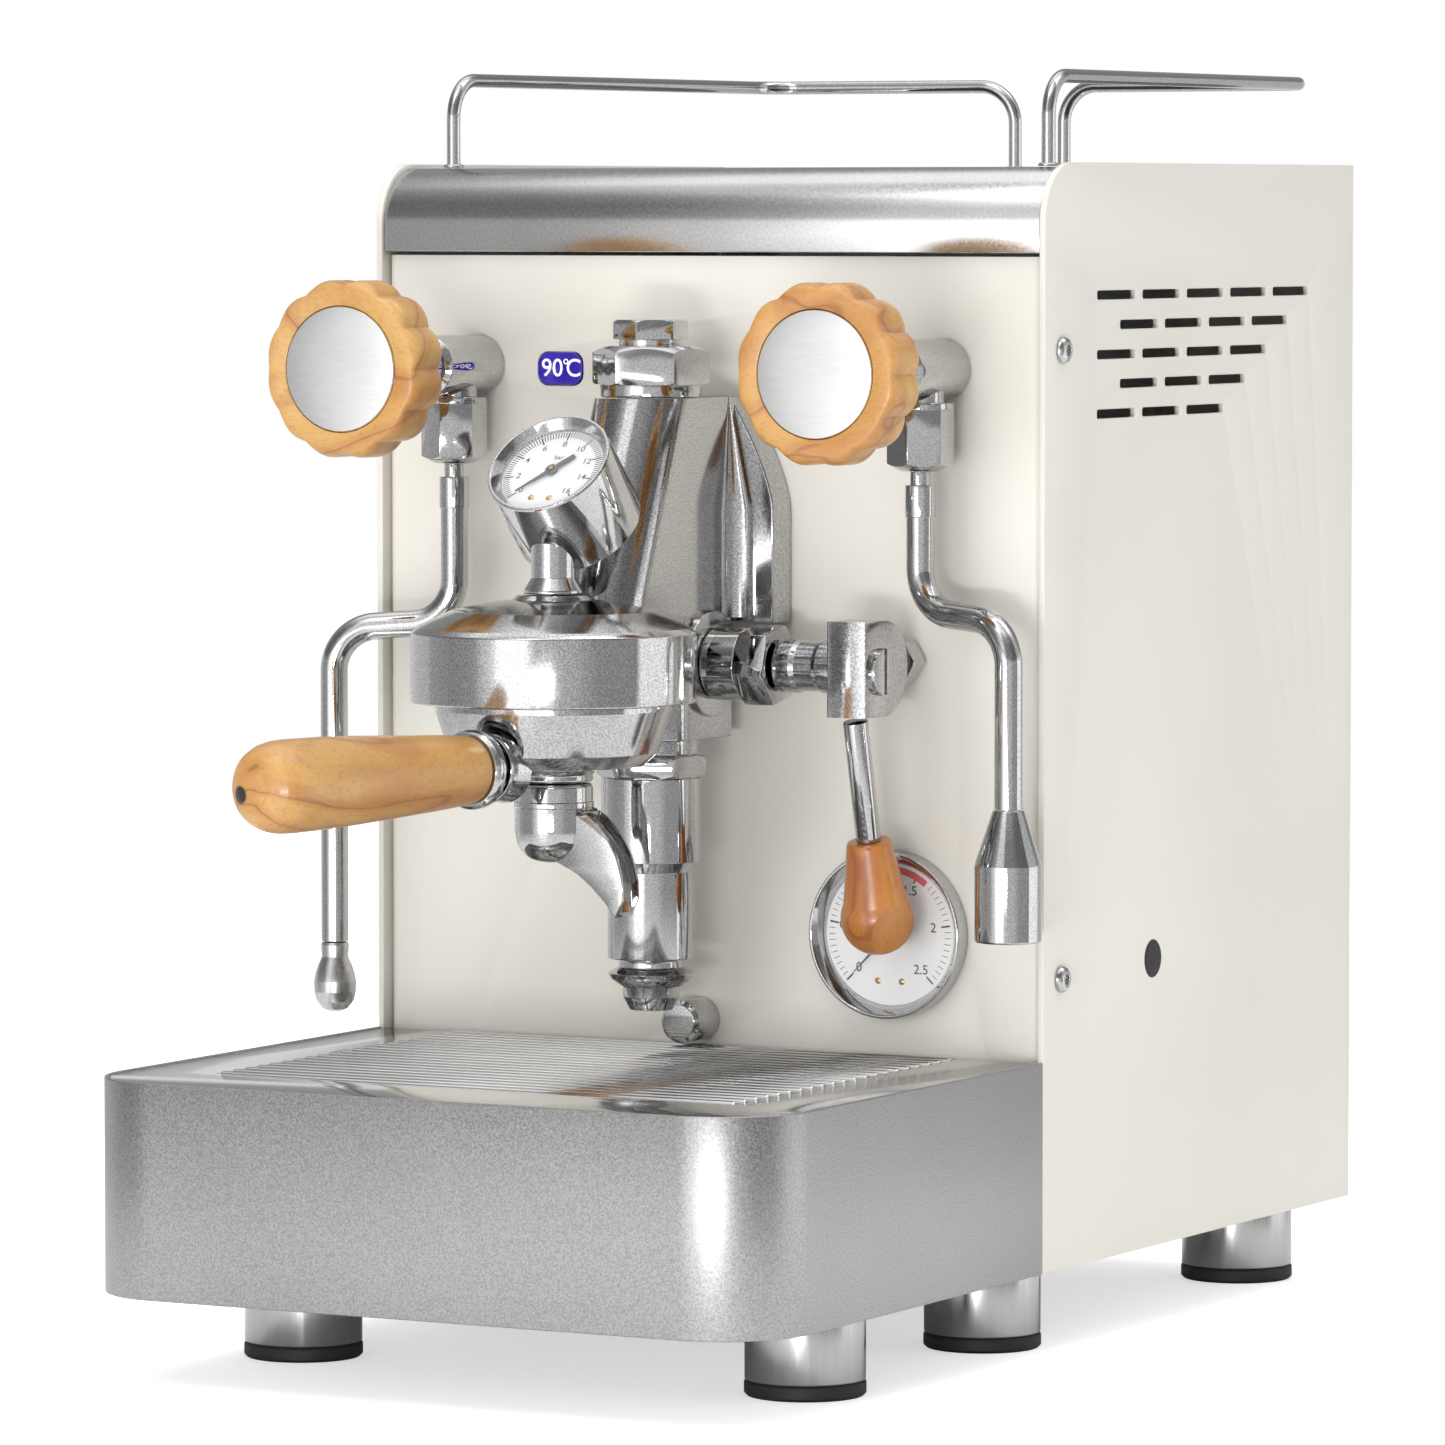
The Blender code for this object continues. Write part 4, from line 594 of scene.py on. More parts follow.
def bent(points, radius, steps=16):
    points = [Vector(p) for p in points]
    route = [points[0]]
    for before, corner, after in zip(points, points[1:], points[2:]):
        back, on = (before - corner).normalized(), (after - corner).normalized()
        angle = back.angle(on)
        reach = radius / math.tan(angle / 2)
        centre = corner + (back + on).normalized() * (radius / math.sin(angle / 2))
        first = corner + back * reach - centre
        sweep = first.rotation_difference(corner + on * reach - centre)
        for i in range(steps + 1):
            route.append(centre + Matrix.Rotation(sweep.angle * i / steps, 3, sweep.axis) @ first)
    return route + [points[-1]]


def tubeMesh(route, radius, resolution=8):
    curve = bpy.data.curves.new("tube", "CURVE")
    curve.dimensions = "3D"
    curve.bevel_depth, curve.bevel_resolution, curve.use_fill_caps = radius, resolution, True
    spline = curve.splines.new("POLY")
    spline.points.add(len(route) - 1)
    for point, at in zip(spline.points, route):
        point.co = (*at, 1)
    mesh = bakedMesh(loose(curve))
    mesh.shade_smooth()
    mesh.set_sharp_from_angle(angle=math.radians(42))
    return mesh


def keep(node, finish, edge=0.0004):
    # a flat CAD node stays, with eased edges and its own finish
    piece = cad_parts[node]
    weld = piece.modifiers.new("weld", "WELD")
    weld.merge_threshold = 0.00001
    if edge:
        ease = piece.modifiers.new("eased edges", "BEVEL")
        ease.width, ease.segments, ease.angle_limit = edge, 2, math.radians(40)
        ease.use_clamp_overlap = True
    split = piece.modifiers.new("creases", "EDGE_SPLIT")
    split.split_angle = math.radians(42)
    piece.data.shade_smooth()
    piece.data.materials.clear()
    piece.data.materials.append(finish)


def fit(name, mesh, finish, body, nodes=(), matrix=None):
    piece = link(name, mesh, finish, matrix)
    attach(piece, body)
    if nodes:
        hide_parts(*nodes)
    return piece


move = Matrix.Translation


def stand(x, y, z):
    return move(place(x, y, z))


# casing
casing = {"half": 0.1293, "depth": 0.2506, "top": 0.4008, "sheet": 0.0023, "corner": 0.0205, "underside": 0.029,
          "ventSize": (0.0300, 0.0031), "ventPitch": 0.0354, "edge": 0.0005,
          "vents": ((0.0446, 0.0400, 5), (0.0547, 0.0579, 4), (0.0647, 0.0400, 4), (0.0747, 0.0579, 3),
                    (0.0847, 0.0400, 3)),
          "screwAt": 0.0131, "screwHeights": (0.3381, 0.1273), "plug": (0.0848, 0.1285, 0.0070)}


def makeSideCover(side, name):
    c = casing
    outline = [(0, c["underside"]), (c["depth"], c["underside"]), (c["depth"], c["top"])]
    outline += arc((c["corner"], c["top"] - c["corner"]), c["corner"], 90, 180, 28)
    slots = []
    for drop, start, count in c["vents"]:
        for i in range(count):
            middle = (start + c["ventSize"][0] / 2 + c["ventPitch"] * i, c["top"] - drop)
            slots.append(roundedBox(middle, c["ventSize"], c["ventSize"][1] / 2 - 0.0004, 5))
    inner, outer = c["half"] - c["sheet"], c["half"]
    low, high = sorted((side * inner, side * outer))
    mesh = sheetMesh([outline] + slots, low, high, c["edge"])
    return fit(name, mesh, creamPaint, "root", ["side_cover_" + name.split("Cover")[0]],
               stand(0, 0, 0) @ facingSide)


def makeScrews():
    profile = [(0, 0.0012), (0.0017, 0.0012), (0.0017, 0.0026), (0.0028, 0.0025), (0.0038, 0.0020), (0.0044, 0.0012),
               (0.00465, 0.0003), (0.0026, 0.0003)]
    head = turnedMesh(profile, 48, 0.0002)
    for side, word in ((1, "right"), (-1, "left")):
        for height, level in zip(casing["screwHeights"], ("upper", "lower")):
            turn = Matrix.Rotation(side * pi / 2, 4, "Y")
            fit(f"{level}Screw{word.title()}", head.copy(), chromePlate, "root",
                [f"cover_screw_{level}_{word}"],
                stand(side * casing["half"], casing["screwAt"], height) @ turn)


def makePlug():
    y, z, radius = casing["plug"]
    mesh = turnedMesh([(0, 0.0004), (radius * 0.6, 0.00035), (radius * 0.9, 0.0001), (radius, -0.0006),
                       (radius, -0.0012), (0, -0.0012)], 64, 0.0002)
    fit("cableHolePlug", mesh, blackRubber, "root", (),
        stand(casing["half"] + 0.0002, y, z) @ alongX)


visor = {"radius": 0.0195, "centre": 0.0205, "low": 0.3705, "top": 0.3993, "lap": 0.0022, "sheet": 0.0015,
         "gap": 0.0003}


def makeVisor():
    v = visor
    path = [(v["centre"] - v["radius"], v["low"])]
    path += list(reversed(arc((v["centre"], v["top"] - v["radius"]), v["radius"], 90, 180, 40)))
    path.append((v["centre"] + v["lap"], v["top"]))
    half = casing["half"] - casing["sheet"] - v["gap"]
    mesh = foldedMesh(path, -half, half, v["sheet"], 1, 0.0003)
    fit("visor", mesh, visorSteel, "root", ["visor"], stand(0, 0, 0) @ facingSide)


makeSideCover(1, "rightCover")
makeSideCover(-1, "leftCover")
makeScrews()
makePlug()
makeVisor()
for node, finish, edge in (("front_panel", creamPaint, 0.0003), ("rear_panel", creamPaint, 0.0003),
                           ("base_frame", satinSteel, 0.0004), ("cup_tray", polishedSteel, 0.0003),
                           ("boiler", copper, 0.0008), ("pump", darkPlastic, 0.0006),
                           ("control_box", darkPlastic, 0.0006), ("power_inlet", darkPlastic, 0.0004),
                           ("power_rocker", darkPlastic, 0.0004), ("water_tank", clearTank, 0.0006),
                           ("tank_lid", darkPlastic, 0.0006), ("group_gasket", blackRubber, 0),
                           ("shower_screen", satinSteel, 0), ("filter_basket", satinSteel, 0),
                           ("drip_tray", polishedSteel, 0.0002)):
    keep(node, finish, edge)
print("casing is dressed")


# cup rails
rails = {"radius": 0.0024, "front": (0.1157, 0.030), "rear": (0.110, 0.254), "end": (0.010, 0.258), "top": 0.4300,
         "foot": 0.3996, "corner": 0.0135}


def makeRail(side, name, node):
    r = rails
    front, rear, end = [(side * x, y) for x, y in (r["front"], r["rear"], r["end"])]
    route = bent([place(*front, r["foot"]), place(*front, r["top"]), place(*rear, r["top"]), place(*end, r["top"]),
                  place(*end, r["foot"])], r["corner"], 20)
    parts = [(tubeMesh(route, r["radius"]), Matrix.Identity(4))]
    for x, y in (front, end):
        washer = turnedMesh([(0, 0.0011), (0.0030, 0.0011), (0.0036, 0.0006), (0.0036, 0), (0, 0)], 48, 0.0002)
        parts.append((washer, stand(x, y, r["foot"])))
    fit(name, joined(parts), chromePlate, "root", [node])


makeRail(1, "rightRail", "cup_rail_right")
makeRail(-1, "leftRail", "cup_rail_left")


# feet
feet = {"radius": 0.0200, "top": 0.0287, "rubber": 0.0052, "x": 0.0955,
        "rows": {"front": -0.1062, "middle": 0.0223, "rear": 0.2272}}


def makeFeet():
    f = feet
    steel = turnedMesh([(0, f["top"]), (f["radius"] - 0.0002, f["top"]), (f["radius"] - 0.0002, f["rubber"]),
                        (0, f["rubber"])], 96, 0.0006)
    rubber = turnedMesh([(0, f["rubber"] - 0.0001), (f["radius"] - 0.0006, f["rubber"] - 0.0001),
                         (f["radius"], f["rubber"] - 0.0008), (f["radius"], 0.0010), (f["radius"] - 0.0010, 0), (0, 0)],
                        96, 0.0005)
    for row, y in f["rows"].items():
        for word, side in (("right", 1), ("left", -1)):
            at = stand(side * f["x"], y, 0)
            fit(f"{row}Foot{word.title()}", steel.copy(), footSteel, "root", [f"foot_{row}_{word}"], at)
            fit(f"{row}FootPad{word.title()}", rubber.copy(), blackRubber, "root", (), at)


makeFeet()
print("rails and feet are on")


# drip drawer
drawer = {"half": 0.1293, "front": -0.1985, "corner": 0.031, "low": 0.029, "top": 0.1003, "sheet": 0.0015,
          "gap": 0.0003, "rod": 0.0015, "grateHalf": 0.0965, "grateFront": -0.1570, "grateBack": -0.0015,
          "bar": 0.0016, "barX": 0.0579, "spaces": 20}


def makeTrayWrap():
    d = drawer
    right = arc((d["half"] - d["corner"], d["front"] + d["corner"]), d["corner"], -90, 0, 32) + [(d["half"], -d["gap"])]
    path = [(-x, y) for x, y in reversed(right)] + right
    mesh = foldedMesh(path, d["low"], d["top"], d["sheet"], -1, 0.0004)
    fit("trayWrap", mesh, traySteel, "drip_drawer", ["tray_housing"], stand(0, 0, 0))


def makeGrate():
    d = drawer
    height = d["top"] - d["rod"] + 0.0004
    first, last = d["grateFront"] + d["rod"], d["grateBack"] - d["rod"]
    rod = turnedMesh([(0, d["grateHalf"]), (d["rod"], d["grateHalf"]), (d["rod"], -d["grateHalf"]),
                      (0, -d["grateHalf"])], 20, 0.0006)
    bar = turnedMesh([(0, last + 0.001), (d["bar"], last + 0.001), (d["bar"], first - 0.001), (0, first - 0.001)], 16,
                     0.0005)
    parts = [(rod, stand(0, first + (last - first) * i / d["spaces"], height) @ alongX) for i in range(d["spaces"] + 1)]
    parts += [(bar, stand(side * d["barX"], 0, height - 2 * d["rod"]) @ alongY) for side in (-1, 1)]
    fit("grateRods", joined(parts), polishedSteel, "drip_drawer", ["drip_grate"])


makeTrayWrap()
makeGrate()
print("drip drawer is dressed")


# brew group
group = {"bellY": -0.1033, "bellRadius": 0.0472, "bellBottom": 0.2230, "shoulder": 0.2475, "bellTop": 0.2572,
         "holder": 0.0393, "halfWidth": 0.0170, "neckFootY": -0.069, "neckHeadY": -0.041, "top": 0.3218,
         "bottom": 0.2068, "flangeHalf": 0.0326, "flangeFront": -0.0107, "flangeBack": 0.0027, "flangeBottom": 0.2457,
         "flangeShoulder": 0.2840, "chamberY": -0.037, "camY": -0.028, "camZ": 0.2325, "boss": 0.0180,
         "bossFace": 0.0195}


def makeGroupBody():
    g = group
    top, bell = g["bellTop"], g["bellRadius"]
    low, bore = g["bellBottom"], g["holder"] + 0.0012
    bellMesh = turnedMesh([(0, top + 0.0012), (0.0118, top + 0.0012), (0.0135, top - 0.0005), (0.0200, top - 0.0012),
                           (bell - 0.0132, top - 0.0040), (bell - 0.0020, g["shoulder"] + 0.0002),
                           (bell, g["shoulder"] - 0.0015), (bell, low), (bore, low), (bore, low + 0.012)], 144, 0.0008)
    parts = [(bellMesh, stand(0, g["bellY"], 0))]
    # the neck leans forward as it goes down: a rounded nose, flat flanks, then a fillet out to the web
    back = g["flangeFront"] + 0.0015
    wide = g["halfWidth"]

    def section(centre, flare):
        nose = arc((0, centre), wide, -90, 0, 20)
        start = back - flare
        fillet = arc((wide + flare, start - 0.004), flare, 180, 90, 14)
        half = nose + [(x, min(y, back)) for x, y in fillet] + [(wide + flare, back)]
        return half + [(-x, y) for x, y in reversed(half[1:])]
    levels = []
    head, foot = (g["top"], g["neckHeadY"]), (top - 0.0005, g["neckFootY"])
    for i in range(25):
        t = i / 24
        height = foot[0] + (head[0] - foot[0]) * t
        flare = 0.008 if height < g["flangeShoulder"] else max(
            0.0004, 0.008 * (1 - (height - g["flangeShoulder"]) / (head[0] - g["flangeShoulder"])))
        levels.append((height, foot[1] + (head[1] - foot[1]) * t, flare))
    levels = [(g["shoulder"], g["neckFootY"] - 0.002, 0.008)] + levels
    shape = bmesh.new()
    rings = [[shape.verts.new((x, y, height)) for x, y in section(centre, flare)] for height, centre, flare in levels]
    count = len(rings[0])
    for lower, upper in zip(rings, rings[1:]):
        for i in range(count):
            j = (i + 1) % count
            shape.faces.new((lower[i], lower[j], upper[j], upper[i]))
    shape.faces.new(rings[0])
    shape.faces.new(rings[-1])
    parts.append((asMesh(shape, 40), stand(0, 0, 0)))
    # the block below, the flange on the panel, the cam boss and the chamber's seat
    outline = arc((0, g["chamberY"]), wide, -90, -8, 14) + [(wide, -0.0115)]
    outline = outline + [(-x, y) for x, y in reversed(outline[1:])]
    parts.append((sheetMesh([outline], g["bottom"], g["shoulder"] + 0.002, 0.0008), stand(0, 0, 0)))
    slope = [(g["flangeHalf"], g["flangeBottom"]), (g["flangeHalf"], g["flangeShoulder"])]
    for i in range(1, 15):
        t = i / 14
        slope.append((g["flangeHalf"] - (g["flangeHalf"] - wide + 0.001) * t ** 1.5,
                      g["flangeShoulder"] + (g["top"] - g["flangeShoulder"]) * t))
    flange = slope + [(-x, z) for x, z in reversed(slope)]
    parts.append((sheetMesh([flange], -g["flangeBack"], -g["flangeFront"], 0.0007), stand(0, 0, 0) @ towardsFront))
    boss = turnedMesh([(0, g["bossFace"]), (g["boss"], g["bossFace"]), (g["boss"], -g["bossFace"]),
                       (0, -g["bossFace"])], 96, 0.0007)
    parts.append((boss, stand(0, g["camY"], g["camZ"]) @ alongX))
    seat = turnedMesh([(0, 0.2075), (wide - 0.0004, 0.2075), (wide - 0.0004, 0.2021), (0, 0.2021)], 72, 0.0005)
    parts.append((seat, stand(0, g["chamberY"], 0)))
    fit("groupCasting", joined(parts, 40), castChrome, "root", ["group_body"])


def makeTopCap():
    g = group
    low = g["top"] + 0.0003
    at = stand(0, g["chamberY"], low)
    base = turnedMesh([(0, 0.0045), (0.0170, 0.0045), (0.0170, 0), (0, 0)], 96, 0.0006)
    hexagon = nutMesh(0.0198, 0.0043, 0.0172, 0.0158, 0.0186, math.radians(-68), 0.0004)
    ring = turnedMesh([(0, 0.0196), (0.0108, 0.0196), (0.0108, 0.0168), (0, 0.0168)], 72, 0.0004)
    nut = nutMesh(0.0127, 0.0194, 0.0260, 0.0114, 0.0122, math.radians(-55), 0.0003)
    flat = Matrix.Identity(4)
    fit("groupTopCap", joined([(base, flat), (hexagon, flat), (ring, flat), (nut, flat)], 26), chromePlate, "root",
        ["group_top_cap"], at)


def makeGland():
    g = group
    start = g["bossFace"] + 0.0003
    end = start + 0.0247
    gland = turnedMesh([(0, end - 0.0113), (0.0118, end - 0.0113), (0.0123, end - 0.0120), (0.0123, start + 0.0010),
                        (0.0117, start), (0, start)], 72, 0.0003)
    nut = nutMesh(0.0140, end - 0.0115, end, 0.0128, 0.0128, math.radians(12), 0.0003)
    flat = Matrix.Identity(4)
    fit("camGland", joined([(gland, flat), (nut, flat)], 26), chromePlate, "root", ["cam_gland"],
        stand(0, g["camY"], g["camZ"]) @ alongX)


chamber = {"top": 0.2020, "low": 0.1155, "radius": 0.0170, "neck": 0.0110, "flange": 0.0147}
drain = {"at": (-0.0025, 0.003, 0.1089), "radius": 0.0074, "reach": 0.0165}


def makeChamber():
    top, low, wide, neck, flange = [chamber[word] for word in ("top", "low", "radius", "neck", "flange")]
    profile = [(0, top), (0.0140, top), (0.0140, top - 0.0075), (wide, top - 0.0078), (wide, low + 0.0505),
               (flange, low + 0.0470), (flange, low + 0.0175), (neck, low + 0.0172), (neck, low + 0.0145),
               (flange, low + 0.0125), (flange - 0.0010, low + 0.0105), (neck - 0.0005, low + 0.0082),
               (neck - 0.0014, low + 0.0080), (neck - 0.0014, low + 0.0044), (neck - 0.0038, low),
               (neck - 0.0055, low), (neck - 0.0060, low + 0.002), (0, low + 0.002)]
    body = turnedMesh(profile, 96, 0.0005)
    nut = nutMesh(wide + 0.0015, top - 0.0077, top - 0.0004, wide - 0.0002, wide - 0.0002, math.radians(-68), 0.0003)
    flat = Matrix.Identity(4)
    fit("lowerChamber", joined([(body, flat), (nut, flat)], 28), chromePlate, "root",
        ["lower_chamber"], stand(0, group["chamberY"], 0))


def makeDrain():
    radius, reach = drain["radius"], drain["reach"]
    mesh = turnedMesh([(0, reach), (radius - 0.0014, reach), (radius, reach - 0.0015), (radius, 0.0003), (0, 0.0003)],
                      72, 0.0005)
    fit("drainFitting", mesh, chromePlate, "root", ["drain_fitting"],
        stand(*drain["at"]) @ towardsFront)


makeGroupBody()
makeTopCap()
makeGland()
makeChamber()
makeDrain()
print("brew group is dressed")


# brew lever
lever = {"x": 0.0772, "thick": 0.0145, "head": 0.0160, "rodTop": (0.0772, -0.0362, 0.2151), "slope": (0, 0.235, -0.972),
         "rodLength": 0.0415, "rod": 0.0042, "knobLength": 0.0270, "knobTop": 0.0072, "ball": 0.0124}


def makeLever():
    g, v = group, lever
    low, high = v["x"] - v["thick"] / 2, v["x"] + v["thick"] / 2
    outline = [(g["camY"] - 0.015, g["camZ"] - v["head"])]
    outline += arc((g["camY"], g["camZ"]), v["head"], -90, 90, 40) + [(g["camY"] - 0.015, g["camZ"] + v["head"])]
    head = (sheetMesh([outline], low, high, 0.0005), stand(0, 0, 0) @ facingSide)
    start = 0.0458
    length = low + 0.002 - start
    spindle = turnedMesh([(0, length), (0.0090, length), (0.0090, length * 0.62), (0.0084, length * 0.56),
                          (0.0084, length * 0.30), (0.0090, length * 0.24), (0.0090, 0), (0, 0)], 72, 0.0004)
    disc = turnedMesh([(0, 0.0032), (0.0080, 0.0032), (0.0080, 0), (0, 0)], 72, 0.0004)
    slotted = loose(disc)
    cutter = bmesh.new()
    bmesh.ops.create_cube(cutter, size=1.0, matrix=move((0, 0, 0.0032)) @ Matrix.Diagonal((0.03, 0.002, 0.0024, 1)))
    groove = loose(asMesh(cutter))
    step = slotted.modifiers.new("slot", "BOOLEAN")
    step.operation, step.solver, step.object = "DIFFERENCE", "EXACT", groove
    discMesh = bakedMesh(slotted)
    bpy.data.objects.remove(groove)
    parts = [head, (spindle, stand(start, g["camY"], g["camZ"]) @ alongX),
             (discMesh, stand(high - 0.001, g["camY"] - 0.0045, g["camZ"] - 0.001) @ alongX)]
    fit("leverHead", joined(parts, 35), castChrome, "brew_lever", ["lever_head"])
    way = Vector(v["slope"]).normalized()
    top = place(*v["rodTop"])
    rodTurn = move(top) @ Vector((0, 0, 1)).rotation_difference(way).to_matrix().to_4x4()
    rod = turnedMesh([(0, v["rodLength"]), (v["rod"], v["rodLength"]), (v["rod"], 0), (0, 0)], 64, 0.0003)
    fit("leverRod", rod, chromePlate, "brew_lever", ["lever_rod"], rodTurn)
    bolt = nutMesh(0.0078, 0.0034, 0.0118, 0.0066, 0.0074, math.radians(30), 0.0003)
    neck = turnedMesh([(0, 0.0036), (0.0052, 0.0036), (0.0052, 0.0001), (0, 0.0001)], 48, 0.0003)
    flat = Matrix.Identity(4)
    fit("leverBolt", joined([(bolt, flat), (neck, flat)], 26), chromePlate, "brew_lever",
        ["lever_bolt"], stand(v["x"], g["camY"] + v["head"] + 0.0003, g["camZ"] + 0.001) @ alongY)
    ballAt = top + way * (v["rodLength"] + 0.0003 + v["knobLength"])
    turn = Vector((0, 0, 1)).rotation_difference(-way).to_matrix().to_4x4()
    profile = [(0, v["knobLength"]), (v["knobTop"], v["knobLength"]), (v["knobTop"] + 0.0004, v["knobLength"] - 0.001),
               (0.0100, 0.0110), (0.0109, 0.0062)] + arc((0, 0), v["ball"], 24, -88, 24) + [(0, -v["ball"])]
    knob = loose(turnedMesh(profile, 96, 0.0003))
    facing = Vector((0.84, -0.39, -0.39)).normalized()
    local = turn.to_3x3().inverted() @ facing
    aim = Vector((0, 0, 1)).rotation_difference(local).to_matrix().to_4x4()
    block = bmesh.new()
    bmesh.ops.create_cone(block, cap_ends=True, segments=72, radius1=0.02, radius2=0.02, depth=0.0212,
                          matrix=aim @ move((0, 0, 0.0194)))
    tool = loose(asMesh(block))
    step = knob.modifiers.new("flat", "BOOLEAN")
    step.operation, step.solver, step.object = "DIFFERENCE", "EXACT", tool
    ease = knob.modifiers.new("eased edges", "BEVEL")
    ease.width, ease.segments, ease.angle_limit = 0.0003, 2, math.radians(18)
    mesh = bakedMesh(knob)
    bpy.data.objects.remove(tool)
    mesh.shade_smooth()
    mesh.set_sharp_from_angle(angle=math.radians(25))
    fit("leverKnob", mesh, leverWood, "brew_lever", ["lever_knob"], move(ballAt) @ turn)


makeLever()
print("brew lever is dressed")


# filter holder, handle and spout
holder = {"z": 0.2030, "angle": -7.6, "end": 0.1562, "start": 0.0410, "ferrule": 0.0130, "spoutTop": 0.1965}


def alongHandle(distance):
    way = Vector((math.sin(math.radians(holder["angle"])), -math.cos(math.radians(holder["angle"])), 0))
    turn = Vector((0, 0, 1)).rotation_difference(way).to_matrix().to_4x4()
    return move(place(0, group["bellY"], holder["z"]) + way * distance) @ turn


def makeFilterHolder():
    z, wide, low = holder["z"], group["holder"], group["bellBottom"]
    profile = [(wide - 0.0040, low + 0.0072), (wide, low + 0.0062), (wide, low - 0.0022),
               (wide - 0.0022, z + 0.0110), (wide - 0.0048, z + 0.0035), (0.0300, z - 0.0008), (0.0200, z - 0.0019),
               (0.0140, z - 0.0024), (0.0130, z - 0.0040), (0.0130, z - 0.0062), (0.0060, z - 0.0062),
               (0.0060, z + 0.0028), (wide - 0.0068, z + 0.0028), (wide - 0.0068, low + 0.0060),
               (wide - 0.0040, low + 0.0072)]
    body = turnedMesh(profile, 144, 0.0009)
    neck = turnedMesh([(0, 0.0075), (0.0075, 0.0075), (0.0075, 0.0050), (0.0115, 0.0048), (0.0115, 0.0030),
                       (0.0090, 0.0020), (0.0105, 0), (0.0120, -0.006), (0, -0.006)], 72, 0.0005)
    fit("filterHolder", joined([(body, stand(0, group["bellY"], 0)), (neck, alongHandle(wide - 0.0063))], 40),
        castChrome, "portafilter", ["portafilter"])


def makeHandle():
    ring = holder["ferrule"]
    ferrule = turnedMesh([(0.0077, 0.0055), (ring - 0.0012, 0.0055), (ring, 0.0042), (ring, 0.0015), (ring - 0.0012, 0),
                          (0.0077, 0)], 96, 0.0005)
    fit("handleFerrule", ferrule, chromePlate, "portafilter", ["handle_ferrule"],
        alongHandle(holder["start"]))
    length = holder["end"] - holder["start"] - 0.0058
    grip = [(0, length)] + [(0.0075 * math.sin(t * pi / 12), length - 0.0012 + 0.0012 * math.cos(t * pi / 12))
                            for t in range(1, 6)]
    grip += [(0.0095, length - 0.0020), (0.0115, length - 0.0035), (0.0130, length - 0.0054), (0.0142, length - 0.0085),
             (0.0148, length - 0.0120), (0.0150, length - 0.0170), (0.0149, length - 0.0260), (0.0148, length - 0.0350),
             (0.0143, length - 0.0500), (0.0136, length - 0.0650), (0.0129, length - 0.0800), (0.0122, length - 0.0950),
             (0.0114, 0.0030), (0.0112, 0), (0, 0)]
    mesh = joined([(turnedMesh(grip, 96, 0.0020), alongHandle(holder["end"] - length))])
    fit("handleGrip", mesh, handleWood, "portafilter", ["handle_grip"])


def makeSpout():
    top = holder["spoutTop"]
    cup = turnedMesh([(0.0088, top), (0.0118, top), (0.0130, top - 0.0010), (0.0130, top - 0.0160),
                      (0.0121, top - 0.0212), (0.0085, top - 0.0253), (0.0040, top - 0.0265), (0, top - 0.0265)],
                     96, 0.0090)
    seam = turnedMesh([(0.0129, top - 0.0060), (0.01325, top - 0.0064), (0.01325, top - 0.0080),
                       (0.0129, top - 0.0084)], 96, 0.0002)
    upper = [(0.0060, 0.1900), (0.0110, 0.1890), (0.0170, 0.1858), (0.0230, 0.1795), (0.0268, 0.1730), (0.0290, 0.1650),
             (0.0292, 0.1590)]
    lower = [(0.0264, 0.1529), (0.0226, 0.1575), (0.0175, 0.1625), (0.0115, 0.1672), (0.0040, 0.1705)]
    upper, lower = [softened(line, 0.02, 6) for line in (upper, lower)]
    half, wall = 0.0058, 0.0014
    chute = loose(sheetMesh([[(p[0], p[1]) for p in upper + lower]], -half, half, 0.0004))
    inner = [(0.0142, 0.1868)] + [(p[0] - 0.0024, p[1] - 0.0022) for p in upper[9:]] + [(0.0268, 0.1545)]
    outer = [(0.045, 0.1545), (0.045, 0.2000), (0.0150, 0.2000)]
    tool = loose(sheetMesh([inner + outer], -half + wall, half - wall, 0.0002))
    step = chute.modifiers.new("channel", "BOOLEAN")
    step.operation, step.solver, step.object = "DIFFERENCE", "EXACT", tool
    chuteMesh = bakedMesh(chute)
    bpy.data.objects.remove(tool)
    parts = [(cup, stand(0, group["bellY"], 0)), (seam, stand(0, group["bellY"], 0)),
             (chuteMesh, stand(0, group["bellY"], 0) @ towardsFront)]
    fit("spout", joined(parts, 35), chromePlate, "portafilter", ["spout"])


makeFilterHolder()
makeHandle()
makeSpout()
print("filter holder is dressed")


# taps, their knobs and the wands
taps = {"x": 0.090, "z": 0.3315, "wandY": -0.014, "front": 0.003, "nutLow": 0.2980, "knobFront": -0.090,
        "knobRadius": 0.0305, "knobDepth": 0.022, "lobes": 12, "disc": 0.0212, "wand": 0.0047, "out": 0.040,
        "forward": 0.014, "bend": 0.0155}


def makeTap(name, side):
    t = taps
    profile = [(0, 0.0600), (0.0068, 0.0600), (0.0068, 0.0525), (0.0096, 0.0500), (0.0096, 0.0440), (0.0082, 0.0430),
               (0.0082, 0.0370), (0.0105, 0.0360), (0.0105, 0.0003), (0, 0.0003)]
    body = turnedMesh(profile, 96, 0.0005)
    lock = nutMesh(0.0096, 0.0440, 0.0500, 0.0088, 0.0088, 0.3, 0.0002)
    ring = turnedMesh([(0, -0.0108), (0.0112, -0.0108), (0.0112, -0.0130), (0, -0.0130)], 72, 0.0004)
    stem = turnedMesh([(0, -0.0040), (0.0080, -0.0040), (0.0080, -0.0120), (0, -0.0120)], 72, 0.0003)
    nut = nutMesh(0.0113, t["nutLow"] - t["z"], -0.0122, 0.0111, 0.0070, math.radians(4), 0.0003)
    down = stand(side * t["x"], t["wandY"], t["z"])
    parts = [(body, stand(side * t["x"], t["front"], t["z"]) @ towardsFront), (ring, down), (stem, down), (nut, down),
             (lock, stand(side * t["x"], t["front"], t["z"]) @ towardsFront)]
    fit(name + "Tap", joined(parts, 30), chromePlate, "root", [f"{name}_valve"])


